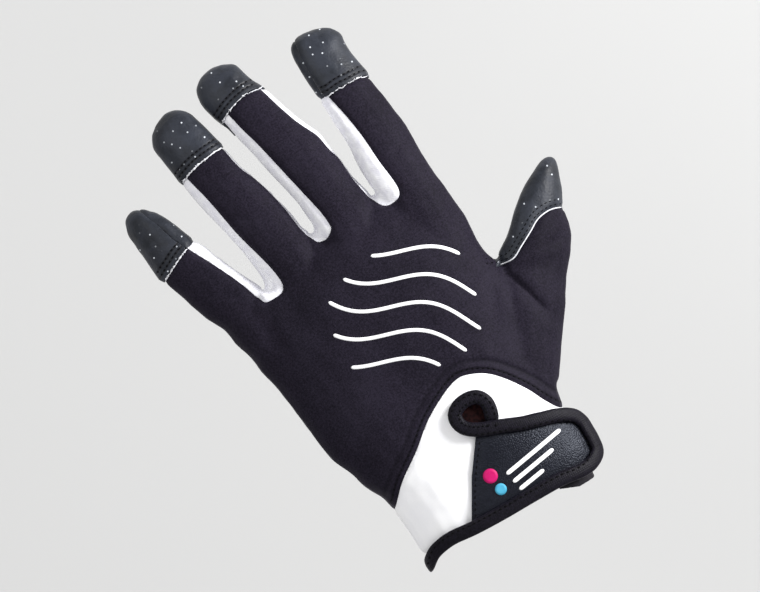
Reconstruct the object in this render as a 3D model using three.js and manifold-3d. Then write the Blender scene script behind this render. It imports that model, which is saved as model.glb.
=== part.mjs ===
// A left sport glove in the shape that it has on a hand, seen with the back of the hand up.
// +X points to the thumb side, +Y to the fingertips and +Z out of the back of the hand.
// The origin is the middle of the wrist opening. All sizes are in millimetres.
import * as THREE from 'three';
import { mergeVertices } from 'three/addons/utils/BufferGeometryUtils.js';
import Module from 'manifold-3d';

const manifold = await Module();
manifold.setup();

// Overall sizes
const GLOVE_LENGTH = 211; // lower edge of the cuff to the tip of the middle finger
const PALM_WIDTH = 104; // across the knuckles
const PALM_DEPTH = 30; // back of the hand to the palm, at the knuckles
const WRIST_WIDTH = 76;
const WRIST_DEPTH = 42;
const FINGER_WIDTH = 23;
const FINGER_DEPTH = 20;
const THUMB_WIDTH = 26;
const THUMB_DEPTH = 24;
const WEB_WIDTH = 12; // the skin between two fingers
const WEB_DEPTH = 20;
const WEB_LENGTH = 20;

// Cloth and leather
const WALL = 1.6;
const GAP = 0.3; // between pieces that are sewn together
const CAP_PROUD = 0.4; // how far the fingertip leather stands out of the knit

// Cuff, strap and binding
const CUFF_HEIGHT = 59; // lower edge of the cuff to the top of its arched seam
const PALM_CUFF_HEIGHT = 30;
const EDGE_LIFT = 2.4; // lower edge of the cuff above the origin
const BINDING_WIDTH = 5.6;
const BINDING_THICKNESS = 2.4;
const STRAP_THICKNESS = 1.6;
const STRAP_HEIGHT = 34; // lower edge to upper edge where the strap leaves the vent
const STRAP_REACH = 44.4; // middle of the wrist to the strap's rounded end
const STRAP_ROUND = 12; // size of the strap's rounded corners
const STRAP_FLARE = 8.5; // how far the line of the strap runs past the side of the wrist
const VENT_RADIUS = 3.8;
const VENT_SINK = 1.3; // how far the ring round the vent runs into the strap's binding
const TAB_THICKNESS = 1.1;
const TAB_START = 25; // middle of the wrist to the tab's inner edge
const TAB_HEIGHT = 26;
const TAB_PEEK = 2.9; // how far the tab's corner shows below the edge of the cuff
const EDGE_DIP = 2; // how far the lower edge reaches below the origin on the palm side

// Bend of the hand: the sides and the fingertips lie lower than the middle of the back
const ARCH_RADIUS = 225; // across the hand
const ARCH_CENTRE = -10;
const CURL_RADIUS = 325; // along the fingers, from the knuckles on
const CURL_START = 0.57; // share of the glove's length
const SEAM_LEVEL = -3; // height of the seam between the back and the palm

// Faceting
const BODY_SIDES = 28;
const FINGER_SIDES = 16;
const HOLLOW_BODY_SIDES = 20;
const HOLLOW_FINGER_SIDES = 12;
const BODY_POWER = 2.6; // 2 is an ellipse, more is boxier
const FINGER_POWER = 2.25;
const SEAM_STEPS = 14;
const ROUND_STEPS = 6;
const SIDE_MARGIN = 0.7; // share of a finger's width, from its middle to past its side
const SEAM_OVERRUN = 0.06; // share of the finger's length that a seam runs on under the cap
const HIGH = 60; // half height of every cutting prism
const FAR = 200; // past the outline of the glove

// Shares of PALM_WIDTH and GLOVE_LENGTH: the edges of the hand from the wrist to the webs.
// Back and front are shares of half of PALM_DEPTH.
const HAND_SECTIONS = [
  { ulnar: -0.447, ulnarAt: 0.213, radial: 0.377, radialAt: 0.209, back: 1.24, front: 1.33 },
  { ulnar: -0.503, ulnarAt: 0.294, radial: 0.430, radialAt: 0.284, back: 1.13, front: 1.22 },
  { ulnar: -0.532, ulnarAt: 0.379, radial: 0.455, radialAt: 0.370, back: 1.06, front: 1.14 },
  { ulnar: -0.555, ulnarAt: 0.430, radial: 0.430, radialAt: 0.424, back: 1.04, front: 1.09 },
  { ulnar: -0.569, ulnarAt: 0.460, radial: 0.384, radialAt: 0.464, back: 1.02, front: 1.06 },
  { ulnar: -0.608, ulnarAt: 0.526, radial: 0.382, radialAt: 0.531, back: 0.96, front: 0.98 },
  { ulnar: -0.622, ulnarAt: 0.559, radial: 0.372, radialAt: 0.600, back: 0.86, front: 0.86 },
  { ulnar: -0.600, ulnarAt: 0.566, radial: 0.350, radialAt: 0.636, back: 0.66, front: 0.66 },
  { ulnar: -0.560, ulnarAt: 0.572, radial: 0.310, radialAt: 0.655, back: 0.36, front: 0.36 },
];

// Shares of half of WRIST_WIDTH, PALM_CUFF_HEIGHT and half of WRIST_DEPTH: the cuff.
const WRIST_SECTIONS = [
  { ulnar: -0.96, radial: 1.01, at: 0.00, back: 0.98, front: 1.00 },
  { ulnar: -0.98, radial: 1.02, at: 0.45, back: 1.00, front: 1.00 },
  { ulnar: -1.05, radial: 1.02, at: 1.00, back: 0.96, front: 0.99 },
];

// Shares of a finger's length, from inside the hand to the tip, and of its width and depth.
const FINGER_PROFILE = [
  { at: 0.00, width: 0.78, depth: 1.15 },
  { at: 0.10, width: 1.02, depth: 1.22 },
  { at: 0.20, width: 1.13, depth: 1.20 },
  { at: 0.30, width: 1.05, depth: 1.10 },
  { at: 0.40, width: 1.01, depth: 1.03 },
  { at: 0.50, width: 1.00, depth: 0.98 },
  { at: 0.62, width: 0.97, depth: 0.94 },
  { at: 0.73, width: 0.92, depth: 0.89 },
  { at: 0.84, width: 0.88, depth: 0.83 },
  { at: 0.92, width: 0.83, depth: 0.76 },
  { at: 0.965, width: 0.68, depth: 0.63 },
  { at: 0.99, width: 0.44, depth: 0.42 },
  { at: 1.00, width: 0.17, depth: 0.17 },
];
const THUMB_PROFILE = [
  { at: 0.00, width: 0.70, depth: 1.00 },
  { at: 0.20, width: 0.96, depth: 1.04 },
  { at: 0.40, width: 1.03, depth: 1.00 },
  { at: 0.60, width: 1.03, depth: 0.95 },
  { at: 0.74, width: 0.86, depth: 0.90 },
  { at: 0.82, width: 0.70, depth: 0.84 },
  { at: 0.89, width: 0.56, depth: 0.76 },
  { at: 0.95, width: 0.40, depth: 0.62 },
  { at: 0.985, width: 0.25, depth: 0.40 },
  { at: 1.00, width: 0.10, depth: 0.15 },
];

// Path: knuckle, two joints and tip, in shares of PALM_WIDTH and GLOVE_LENGTH.
// Cap: share of the finger's length where its leather cap starts.
// Seams: share of the half width where the knit meets the white side wall, at web and cap.
// Groove: share of the half width where the cap meets leather that wraps round from the palm.
const FINGERS = [
  {
    name: 'index', size: 1.00, cap: 0.73, web: 0.30,
    path: [[0.260, 0.521], [0.235, 0.711], [0.205, 0.853], [0.195, 0.976]],
    ulnar: [-0.30, -0.70], radial: null, groove: -0.70,
  },
  {
    name: 'middle', size: 1.00, cap: 0.81, web: 0.28,
    path: [[0.000, 0.521], [-0.060, 0.758], [-0.139, 0.877], [-0.202, 1.000]],
    ulnar: [-0.60, -0.84], radial: [0.86, 0.86], groove: null,
  },
  {
    name: 'ring', size: 1.00, cap: 0.75, web: 0.27,
    path: [[-0.260, 0.512], [-0.337, 0.739], [-0.399, 0.844], [-0.452, 0.967]],
    ulnar: [-0.62, -0.80], radial: [0.86, 0.86], groove: null,
  },
  {
    name: 'little', size: 0.92, cap: 0.66, web: 0.33,
    path: [[-0.475, 0.468], [-0.596, 0.659], [-0.663, 0.749], [-0.730, 0.836]],
    ulnar: null, radial: [0.80, 0.62], groove: 0.62,
  },
];
const THUMB_PATH = [[0.265, 0.190], [0.500, 0.374], [0.635, 0.467], [0.772, 0.562]];

// Skin between two fingers, in shares of PALM_WIDTH and GLOVE_LENGTH.
// End: where the open slot ends. Seam: lowest point of the white side wall.
const WEBS = [
  { between: ['index', 'middle'], end: [0.118, 0.648], seam: [0.140, 0.616] },
  { between: ['middle', 'ring'], end: [-0.163, 0.636], seam: [-0.146, 0.615] },
  { between: ['ring', 'little'], end: [-0.415, 0.583], seam: [-0.415, 0.563] },
];
const WEB_PROFILE = [
  { at: 0.00, width: 1.00, depth: 1.00 },
  { at: 0.55, width: 1.00, depth: 0.95 },
  { at: 0.80, width: 0.90, depth: 0.75 },
  { at: 0.93, width: 0.70, depth: 0.55 },
  { at: 1.00, width: 0.40, depth: 0.32 },
];

// Thumb leather: share of the thumb's length and of its half width along the seam.
const THUMB_SEAM = [
  { at: 0.60, across: -1.45 },
  { at: 0.54, across: -1.00 },
  { at: 0.56, across: -0.66 },
  { at: 0.61, across: -0.47 },
  { at: 0.68, across: -0.24 },
  { at: 0.74, across: -0.05 },
  { at: 0.79, across: 0.40 },
  { at: 0.81, across: 1.8 },
];

// Arched upper seam of the white cuff: shares of half of WRIST_WIDTH and of CUFF_HEIGHT.
const CUFF_SEAM = [
  { across: -1.20, up: 0.37 },
  { across: -0.99, up: 0.44 },
  { across: -0.53, up: 0.71 },
  { across: -0.02, up: 0.95 },
  { across: 0.24, up: 1.00 },
  { across: 0.50, up: 0.92 },
  { across: 0.78, up: 0.71 },
  { across: 0.96, up: 0.50 },
  { across: 1.25, up: 0.42 },
];

// Straight edge where the strap is sewn to the cuff: shares of half of WRIST_WIDTH.
const STRAP_SEAM_TOP = 0.068;
const STRAP_SEAM_BOTTOM = -0.455;
const STRAP_DROP = 0.19; // share of its height that the upper edge falls towards the end
const STRAP_DIP = 0.13; // share of its height that the upper edge has sunk halfway
const EDGE_TURN = -0.72; // where the lower edge starts to dip towards the palm side
const VENT_ACROSS = 0.17;

const MATERIALS = {
  knit: { color: 0x1b191f, roughness: 0.85 },
  leather: { color: 0x3c4149, roughness: 0.5 },
  side: { color: 0xe9e8f2, roughness: 0.8 },
  cuff: { color: 0xf6f6fa, roughness: 0.7 },
  strap: { color: 0x1f2024, roughness: 0.45 },
  binding: { color: 0x17151c, roughness: 0.75 },
};

const glove = new THREE.Group();

// Names the solid, bends it to the shape of the hand and puts it in the glove.
function addPiece(name, solid, finish) {
  const mesh = mainBody(solid).getMesh();
  const position = new Float32Array(mesh.numVert * 3);
  for (let i = 0; i < mesh.numVert; i += 1) {
    const x = mesh.vertProperties[i * mesh.numProp];
    const y = mesh.vertProperties[i * mesh.numProp + 1];
    const z = mesh.vertProperties[i * mesh.numProp + 2];
    position.set([x, y, z - fallAt(x, y)], i * 3);
  }
  const geometry = new THREE.BufferGeometry();
  geometry.setAttribute('position', new THREE.BufferAttribute(position, 3));
  geometry.setIndex(new THREE.BufferAttribute(new Uint32Array(mesh.triVerts), 1));
  geometry.computeVertexNormals();
  const material = new THREE.MeshStandardMaterial({ ...MATERIALS[finish], metalness: 0 });
  const piece = new THREE.Mesh(geometry, material);
  piece.name = name;
  glove.add(piece);
}

// How far a point of the flat pattern sinks when the hand arches and the fingers curl.
function fallAt(x, y) {
  const arch = (x - ARCH_CENTRE) ** 2 / (2 * ARCH_RADIUS);
  const beyond = Math.max(0, y - CURL_START * GLOVE_LENGTH);
  return arch + beyond ** 2 / (2 * CURL_RADIUS);
}

function solidOf(geometry) {
  const bare = geometry.index ? geometry.toNonIndexed() : geometry.clone();
  bare.deleteAttribute('normal');
  bare.deleteAttribute('uv');
  const merged = mergeVertices(bare, 1e-4);
  return new manifold.Manifold(new manifold.Mesh({
    numProp: 3,
    vertProperties: new Float32Array(merged.attributes.position.array),
    triVerts: new Uint32Array(merged.index.array),
  }));
}

// A closed skin through rings of equal point counts, with a fan over each end.
function loft(rings) {
  const sides = rings[0].length;
  const points = rings.flat();
  const first = points.length;
  for (const ring of [rings[0], rings.at(-1)]) {
    const middle = new THREE.Vector3();
    ring.forEach((point) => middle.addScaledVector(point, 1 / sides));
    points.push(middle);
  }
  const index = [];
  const lastRing = (rings.length - 1) * sides;
  for (let side = 0; side < sides; side += 1) {
    const next = (side + 1) % sides;
    for (let ring = 0; ring < rings.length - 1; ring += 1) {
      const here = ring * sides;
      const ahead = here + sides;
      index.push(here + side, here + next, ahead + side);
      index.push(here + next, ahead + next, ahead + side);
    }
    index.push(first, next, side);
    index.push(first + 1, lastRing + side, lastRing + next);
  }
  const geometry = new THREE.BufferGeometry().setFromPoints(points);
  geometry.setIndex(index);
  return solidOf(geometry);
}

// An oval ring that runs from the thumb side over the palm side and back over the top.
function ovalRing({ centre, across, half, back, front }, sides, power) {
  const ring = [];
  for (let i = 0; i < sides; i += 1) {
    const angle = (-2 * Math.PI * i) / sides;
    const side = Math.sign(Math.cos(angle)) * Math.abs(Math.cos(angle)) ** (2 / power);
    const up = Math.sign(Math.sin(angle)) * Math.abs(Math.sin(angle)) ** (2 / power);
    ring.push(new THREE.Vector3(
      centre.x + across.x * half * side,
      centre.y + across.y * half * side,
      up * (up > 0 ? back : front),
    ));
  }
  return ring;
}

// A vertical prism over an outline in the XY plane.
function prism(outline, low = -HIGH, high = HIGH) {
  const shape = new THREE.Shape(outline);
  const geometry = new THREE.ExtrudeGeometry(shape, { depth: high - low, bevelEnabled: false });
  geometry.translate(0, 0, low);
  return solidOf(geometry);
}

// The outline moved outwards by a distance, or inwards by a negative one.
function grown(outline, distance) {
  const turn = THREE.ShapeUtils.isClockWise(outline) ? -1 : 1;
  return outline.map((point, i) => {
    const before = outline.at(i - 1);
    const after = outline[(i + 1) % outline.length];
    const into = point.clone().sub(before).normalize();
    const out = after.clone().sub(point).normalize();
    const normal = new THREE.Vector2(into.y + out.y, -into.x - out.x).normalize();
    const stretch = 1 / Math.max(0.4, normal.dot(new THREE.Vector2(into.y, -into.x)));
    return point.clone().addScaledVector(normal, turn * distance * stretch);
  });
}

// The largest body of a cut, without the offcuts that fall off along its seams.
function mainBody(solid) {
  return solid.decompose().reduce((best, body) => (body.volume() > best.volume() ? body : best));
}

function union(solids) {
  return solids.reduce((sum, solid) => sum.add(solid));
}

// Shares of the palm's width and the glove's length as a point.
function planPoint([across, along]) {
  return new THREE.Vector2(across * PALM_WIDTH, along * GLOVE_LENGTH);
}

function smoothLine(points, steps = SEAM_STEPS) {
  return new THREE.SplineCurve(points).getPoints(steps);
}

// A finger or the thumb as a curved tube: its line, its width and its depth.
class Digit {
  constructor(path, profile, width, depth) {
    this.line = new THREE.SplineCurve(path.map(planPoint));
    this.length = this.line.getLength();
    this.profile = profile;
    this.width = width;
    this.depth = depth;
  }

  // Direction across the digit, towards the thumb side.
  acrossAt(at) {
    const tangent = this.line.getTangentAt(at);
    return new THREE.Vector2(tangent.y, -tangent.x);
  }

  // A point at a share of the length and a share of the half width, between two sections.
  pointAt(at, across) {
    const row = Math.max(1, this.profile.findIndex((station) => station.at >= at));
    const [before, after] = [this.profile[row - 1], this.profile[row]];
    const [from, to] = [before, after].map((station) => this.line.getPointAt(station.at)
      .addScaledVector(this.acrossAt(station.at), (across * station.width * this.width) / 2));
    return from.lerp(to, (at - before.at) / (after.at - before.at));
  }

  // A point past the side of the digit, a share of its full width from the line.
  beside(at, across) {
    return this.line.getPointAt(at).addScaledVector(this.acrossAt(at), across * this.width);
  }

  beyondTip(distance) {
    return this.line.getPointAt(1).addScaledVector(this.line.getTangentAt(1), distance);
  }

  // The tube, grown outwards by a distance all round and at its tip.
  solid(grow = 0, sides = FINGER_SIDES) {
    const wider = 1 + (2 * grow) / this.width;
    const deeper = 1 + (2 * grow) / this.depth;
    const rings = this.profile.map(({ at, width, depth }) => {
      const end = at > 0.5 ? grow * (2 * at - 1) : 0;
      const centre = this.line.getPointAt(at);
      centre.addScaledVector(this.line.getTangentAt(at), end);
      const high = (depth * this.depth * deeper) / 2;
      return ovalRing({
        centre,
        across: this.acrossAt(at),
        half: (width * this.width * wider) / 2,
        back: high,
        front: high,
      }, sides, FINGER_POWER);
    });
    return loft(rings);
  }
}

// The hand and the cuff as one tube, grown by a distance. It can reach past the wrist, and
// the thumb side of the cuff can be moved out by a flare.
function handSolid(grow, pastWrist, flare = 0, sides = BODY_SIDES) {
  const rings = WRIST_SECTIONS.map(({ ulnar, radial, at, back, front }) => {
    const left = (ulnar * WRIST_WIDTH) / 2 - grow;
    const right = (radial * WRIST_WIDTH) / 2 + grow + flare;
    return {
      centre: new THREE.Vector2((left + right) / 2, at * PALM_CUFF_HEIGHT),
      across: new THREE.Vector2(1, 0),
      half: (right - left) / 2,
      back: (back * WRIST_DEPTH) / 2 + grow,
      front: (front * WRIST_DEPTH) / 2 + grow,
    };
  });
  rings.unshift({ ...rings[0], centre: new THREE.Vector2(rings[0].centre.x, -pastWrist) });
  for (const row of HAND_SECTIONS) {
    const ulnar = planPoint([row.ulnar, row.ulnarAt]);
    const radial = planPoint([row.radial, row.radialAt]);
    const end = row === HAND_SECTIONS.at(-1) ? grow : 0;
    const across = radial.clone().sub(ulnar);
    rings.push({
      centre: ulnar.clone().lerp(radial, 0.5).add(new THREE.Vector2(0, end)),
      across: across.clone().normalize(),
      half: across.length() / 2 + grow,
      back: (row.back * PALM_DEPTH) / 2 + grow,
      front: (row.front * PALM_DEPTH) / 2 + grow,
    });
  }
  return loft(rings.map((ring) => ovalRing(ring, sides, BODY_POWER)));
}

// A layer that lies over the cuff, as thick as given, with its thumb side moved out by a flare.
function cuffLayer(thickness, flare) {
  const outer = handSolid(GAP + thickness, CUFF_HEIGHT, flare);
  const inner = handSolid(GAP, CUFF_HEIGHT + WALL, flare);
  return outer.subtract(inner).subtract(handSolid(GAP, CUFF_HEIGHT + WALL));
}

function corners(...pairs) {
  return pairs.map(([x, y]) => new THREE.Vector2(x, y));
}

// Everything between two heights in the plan, from side to side.
function belt(low, high) {
  return corners([-FAR, low], [FAR, low], [FAR, high], [-FAR, high]);
}

const everywhere = belt(-FAR, 2 * FAR);
const aboveSeam = prism(everywhere, SEAM_LEVEL + GAP / 2, HIGH);
const belowSeam = prism(everywhere, -HIGH, SEAM_LEVEL - GAP / 2);

const digits = Object.fromEntries(FINGERS.map(({ name, path, size }) => (
  [name, new Digit(path, FINGER_PROFILE, size * FINGER_WIDTH, size * FINGER_DEPTH)]
)));
const thumb = new Digit(THUMB_PATH, THUMB_PROFILE, THUMB_WIDTH, THUMB_DEPTH);

const webs = WEBS.map(({ end }) => {
  const root = [end[0], end[1] - WEB_LENGTH / GLOVE_LENGTH];
  return new Digit([root, end], WEB_PROFILE, WEB_WIDTH, WEB_DEPTH);
});
const tubes = [thumb, ...Object.values(digits), ...webs];

// The worn hollow skin: hand, fingers and thumb joined, less the same form one wall smaller
const outside = union([handSolid(0, EDGE_DIP), ...tubes.map((tube) => tube.solid())]);
const hollow = union([
  handSolid(-WALL, PALM_CUFF_HEIGHT, 0, HOLLOW_BODY_SIDES),
  ...tubes.map((tube) => tube.solid(-WALL, HOLLOW_FINGER_SIDES)),
]);
const skin = outside.subtract(hollow);

// The lower edge of the back: level, then dipping round the little-finger side to the palm
const edgeOutline = corners(
  [-FAR, -FAR],
  [FAR, -FAR],
  [FAR, EDGE_LIFT],
  [(EDGE_TURN * WRIST_WIDTH) / 2, EDGE_LIFT],
  [-WRIST_WIDTH / 2, -EDGE_DIP],
  [-FAR, -EDGE_DIP],
);
const upperSkin = skin.intersect(aboveSeam).subtract(prism(edgeOutline));

// Where the knit meets a white side wall, from the web to just past the cap's edge
function seamLine(finger, side) {
  const [atWeb, atCap] = finger[side];
  const end = finger.cap + SEAM_OVERRUN;
  const between = FINGER_PROFILE.map(({ at }) => at).filter((at) => at > finger.web && at < end);
  return [finger.web, ...between, end].map((at) => {
    const share = (at - finger.web) / (end - finger.web);
    return digits[finger.name].pointAt(at, THREE.MathUtils.lerp(atWeb, atCap, share));
  });
}

// A U round a web: down one finger's seam, round the web and up the next finger's seam
function gussetOutline({ between, seam }) {
  const [first, second] = between.map((name) => FINGERS.find((finger) => finger.name === name));
  const down = seamLine(first, 'ulnar').reverse();
  const up = seamLine(second, 'radial');
  const bottom = [1, -1].map((side) => (
    planPoint(seam).add(new THREE.Vector2((side * WEB_WIDTH) / 5, 0))
  ));
  const round = smoothLine([down.at(-1), ...bottom, up[0]], ROUND_STEPS).slice(1, -1);
  return [...down, ...round, ...up];
}

// The fingertip past the cap's edge, out to the groove on the side that has one
function capOutline(finger, groove) {
  const digit = digits[finger.name];
  const side = Math.sign(finger.groove ?? 1);
  const far = side * digit.width;
  const outline = [digit.beside(finger.cap, -side * SIDE_MARGIN)];
  if (groove) {
    outline.push(digit.pointAt(finger.cap, groove));
    for (const at of [0.80, 0.87, 0.93]) {
      outline.push(digit.pointAt(at, groove));
    }
    outline.push(digit.pointAt(0.965, groove * 0.8));
    outline.push(digit.beyondTip(FINGER_WIDTH / 4));
  } else {
    outline.push(digit.beside(finger.cap, side * SIDE_MARGIN));
    outline.push(digit.beyondTip(FINGER_WIDTH).addScaledVector(digit.acrossAt(1), far));
  }
  outline.push(digit.beyondTip(FINGER_WIDTH).addScaledVector(digit.acrossAt(1), -far));
  return outline;
}

// The strip of palm leather that shows beside the cap, outside the groove
function wrapOutline(finger) {
  const digit = digits[finger.name];
  const side = Math.sign(finger.groove);
  const inner = capOutline(finger, finger.groove).slice(1, -1);
  return [
    digit.beside(finger.cap, side * SIDE_MARGIN),
    ...inner,
    digit.beyondTip(FINGER_WIDTH / 4).addScaledVector(digit.acrossAt(1), side * digit.width),
  ];
}

function thumbOutline() {
  const seam = THUMB_SEAM.map(({ at, across }) => thumb.pointAt(at, across));
  const tip = thumb.beyondTip(THUMB_WIDTH);
  return [
    ...smoothLine(seam),
    tip.clone().addScaledVector(thumb.acrossAt(1), 2 * THUMB_WIDTH),
    tip.clone().addScaledVector(thumb.acrossAt(1), -THUMB_WIDTH),
  ];
}

function cuffOutline() {
  const seam = CUFF_SEAM.map(({ across, up }) => (
    new THREE.Vector2((across * WRIST_WIDTH) / 2, up * CUFF_HEIGHT)
  ));
  return [
    ...smoothLine(seam),
    new THREE.Vector2(FAR, CUFF_SEAM.at(-1).up * CUFF_HEIGHT),
    new THREE.Vector2(FAR, -FAR),
    new THREE.Vector2(-FAR, -FAR),
    new THREE.Vector2(-FAR, CUFF_SEAM[0].up * CUFF_HEIGHT),
  ];
}

// The strap with its binding; its left side runs on past the sewn edge
function strapOutline() {
  const high = EDGE_LIFT + STRAP_HEIGHT;
  const endTop = high - STRAP_DROP * STRAP_HEIGHT;
  const dip = high - STRAP_DIP * STRAP_HEIGHT;
  const rise = ventCentre.x + VENT_RADIUS + BINDING_WIDTH;
  const shape = new THREE.Shape();
  shape.moveTo(-WRIST_WIDTH / 2, EDGE_LIFT);
  shape.lineTo(STRAP_REACH - STRAP_ROUND, EDGE_LIFT);
  shape.quadraticCurveTo(STRAP_REACH, EDGE_LIFT, STRAP_REACH, EDGE_LIFT + STRAP_ROUND);
  shape.lineTo(STRAP_REACH, endTop - STRAP_ROUND);
  shape.quadraticCurveTo(STRAP_REACH, endTop, STRAP_REACH - STRAP_ROUND, endTop);
  shape.quadraticCurveTo((rise + STRAP_REACH - STRAP_ROUND) / 2, dip, rise, high);
  shape.lineTo(-WRIST_WIDTH / 2, high);
  return shape.extractPoints(ROUND_STEPS).shape;
}

// Everything to the thumb side of the strap's sewn edge
function sewnSide(margin) {
  const bottom = (STRAP_SEAM_BOTTOM * WRIST_WIDTH) / 2 + margin;
  const top = (STRAP_SEAM_TOP * WRIST_WIDTH) / 2 + margin;
  const lean = (top - bottom) / STRAP_HEIGHT;
  return corners(
    [bottom - lean * CUFF_HEIGHT, EDGE_LIFT - CUFF_HEIGHT],
    [FAR, EDGE_LIFT - CUFF_HEIGHT],
    [FAR, EDGE_LIFT + 2 * CUFF_HEIGHT],
    [bottom + 2 * lean * CUFF_HEIGHT, EDGE_LIFT + 2 * CUFF_HEIGHT],
  );
}

function disc(centre, radius) {
  const shape = new THREE.Shape();
  shape.absarc(centre.x, centre.y, radius, 0, 2 * Math.PI);
  return shape.extractPoints(2 * ROUND_STEPS).shape.slice(0, -1);
}

const gussets = WEBS.map((web) => ({
  name: `gusset_${web.between.join('_')}`,
  outline: gussetOutline(web),
}));
const caps = FINGERS.map((finger) => ({ finger, outline: capOutline(finger, finger.groove) }));
const wraps = FINGERS.filter((finger) => finger.groove).map(wrapOutline);
const ventCentre = new THREE.Vector2(
  (VENT_ACROSS * WRIST_WIDTH) / 2,
  EDGE_LIFT + STRAP_HEIGHT - VENT_SINK + BINDING_WIDTH + VENT_RADIUS,
);
const vent = prism(disc(ventCentre, VENT_RADIUS));

// Back of the hand: what is left of the upper skin round the other pieces
const otherOutlines = [
  ...gussets.map(({ outline }) => outline),
  ...FINGERS.map((finger) => capOutline(finger, null)),
  thumbOutline(),
  cuffOutline(),
];
addPiece('back_panel', otherOutlines.reduce(
  (rest, outline) => rest.subtract(prism(grown(outline, GAP / 2))),
  upperSkin,
), 'knit');

for (const { finger, outline } of caps) {
  const digit = digits[finger.name];
  const inside = digit.solid(-WALL, HOLLOW_FINGER_SIDES);
  const cap = digit.solid(CAP_PROUD).subtract(inside).intersect(aboveSeam);
  addPiece(`${finger.name}_cap`, cap.intersect(prism(grown(outline, -GAP / 2))), 'leather');
}

const allCaps = FINGERS.map((finger) => prism(grown(capOutline(finger, null), GAP / 2)));
for (const { name, outline } of gussets) {
  const wall = upperSkin.intersect(prism(grown(outline, -GAP / 2)));
  addPiece(name, allCaps.reduce((rest, cap) => rest.subtract(cap), wall), 'side');
}

const thumbLeather = upperSkin.intersect(prism(grown(thumbOutline(), -GAP / 2)));
addPiece('thumb_facing', thumbLeather, 'leather');

const palmCuffArea = prism(belt(-FAR, PALM_CUFF_HEIGHT));
const palmWraps = wraps.map((outline) => prism(grown(outline, -GAP / 2), SEAM_LEVEL - WALL, HIGH));
const palmSide = skin.intersect(union([belowSeam, ...palmWraps]));
addPiece('palm_panel', palmSide.subtract(palmCuffArea), 'leather');

const palmBand = prism(belt(-EDGE_DIP, PALM_CUFF_HEIGHT - GAP));
addPiece('palm_cuff', skin.intersect(belowSeam).intersect(palmBand), 'cuff');

const cuffArea = prism(grown(cuffOutline(), -GAP / 2)).subtract(vent);
addPiece('cuff_panel', upperSkin.intersect(cuffArea), 'cuff');

// Strap: leather inside, binding all round it but at the sewn edge
const strapInside = grown(strapOutline(), -BINDING_WIDTH);
const leatherArea = prism(strapInside).intersect(prism(sewnSide(0)));
const strapLayer = cuffLayer(STRAP_THICKNESS, STRAP_FLARE).intersect(aboveSeam);
addPiece('strap', strapLayer.intersect(leatherArea), 'strap');

const edgeBand = prism(grown(edgeOutline, BINDING_WIDTH)).subtract(prism(edgeOutline));
const bindingArea = prism(strapOutline())
  .subtract(prism(grown(strapInside, GAP)))
  .intersect(prism(sewnSide(0)))
  .add(prism(disc(ventCentre, VENT_RADIUS + BINDING_WIDTH)))
  .add(edgeBand.subtract(prism(sewnSide(GAP))))
  .subtract(leatherArea)
  .subtract(vent);
const bindingLayer = cuffLayer(BINDING_THICKNESS, STRAP_FLARE).intersect(aboveSeam);
addPiece('cuff_binding', bindingLayer.intersect(bindingArea), 'binding');

const palmEdge = prism(belt(-EDGE_DIP, BINDING_WIDTH - EDGE_DIP));
const palmLayer = cuffLayer(BINDING_THICKNESS, 0).intersect(belowSeam);
addPiece('palm_binding', palmLayer.intersect(palmEdge), 'binding');

const tabArea = prism(corners(
  [TAB_START, EDGE_LIFT],
  [STRAP_REACH - STRAP_ROUND, EDGE_LIFT - TAB_PEEK],
  [STRAP_REACH, EDGE_LIFT - TAB_PEEK],
  [STRAP_REACH, TAB_HEIGHT],
  [TAB_START, TAB_HEIGHT],
));
const tabLayer = cuffLayer(TAB_THICKNESS, 0).intersect(aboveSeam);
addPiece('fastener_tab', tabLayer.intersect(tabArea), 'binding');

export default glove;
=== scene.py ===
import math
import random

import bmesh
import bpy
import numpy as np
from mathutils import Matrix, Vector, noise
from mathutils.bvhtree import BVHTree
from mathutils.kdtree import KDTree


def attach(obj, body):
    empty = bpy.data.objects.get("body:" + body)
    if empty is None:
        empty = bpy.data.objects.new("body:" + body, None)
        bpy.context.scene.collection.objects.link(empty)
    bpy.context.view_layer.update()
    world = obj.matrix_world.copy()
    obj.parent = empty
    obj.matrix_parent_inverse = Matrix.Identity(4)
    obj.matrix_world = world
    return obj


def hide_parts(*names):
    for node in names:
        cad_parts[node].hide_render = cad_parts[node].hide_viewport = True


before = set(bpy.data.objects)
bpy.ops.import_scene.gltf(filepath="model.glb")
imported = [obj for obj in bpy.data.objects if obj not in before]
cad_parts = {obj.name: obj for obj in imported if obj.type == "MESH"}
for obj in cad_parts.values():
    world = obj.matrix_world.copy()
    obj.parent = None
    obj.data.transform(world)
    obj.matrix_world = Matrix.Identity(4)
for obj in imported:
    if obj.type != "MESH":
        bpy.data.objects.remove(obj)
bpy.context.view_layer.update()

# A left sport glove with the back of the hand up: +X to the thumb side, +Y to the fingertips.
# Sizes are in millimetres unless a name says otherwise.
MM = 0.001

# Camera
VIEW_CENTRE = (-4.4, 101.3)
VIEW_WIDTH = 296.4
VIEW_TURN_DEGREES = -28
VIEW_LEVEL = 4  # height at which the view is as wide as VIEW_WIDTH
LENS = 260
SENSOR = 36

# Floor and light, in metres and watts
FLOOR = {"size": 6, "level": -0.26, "colour": (0.515, 0.515, 0.513, 1), "roughness": 0.9}
LIGHTS = [
    {"name": "key", "place": (1.85, 0.45, 0.9), "size": 0.9, "power": 80},
    {"name": "fill", "place": (-0.7, 0.9, 1.1), "size": 1.2, "power": 8.5},
    {"name": "low", "place": (-0.1, -0.9, 0.9), "size": 1.0, "power": 4.0},
]
LIGHT_AIM = (0, 0.1, 0)
SKY_STRENGTH = 0.44

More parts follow.
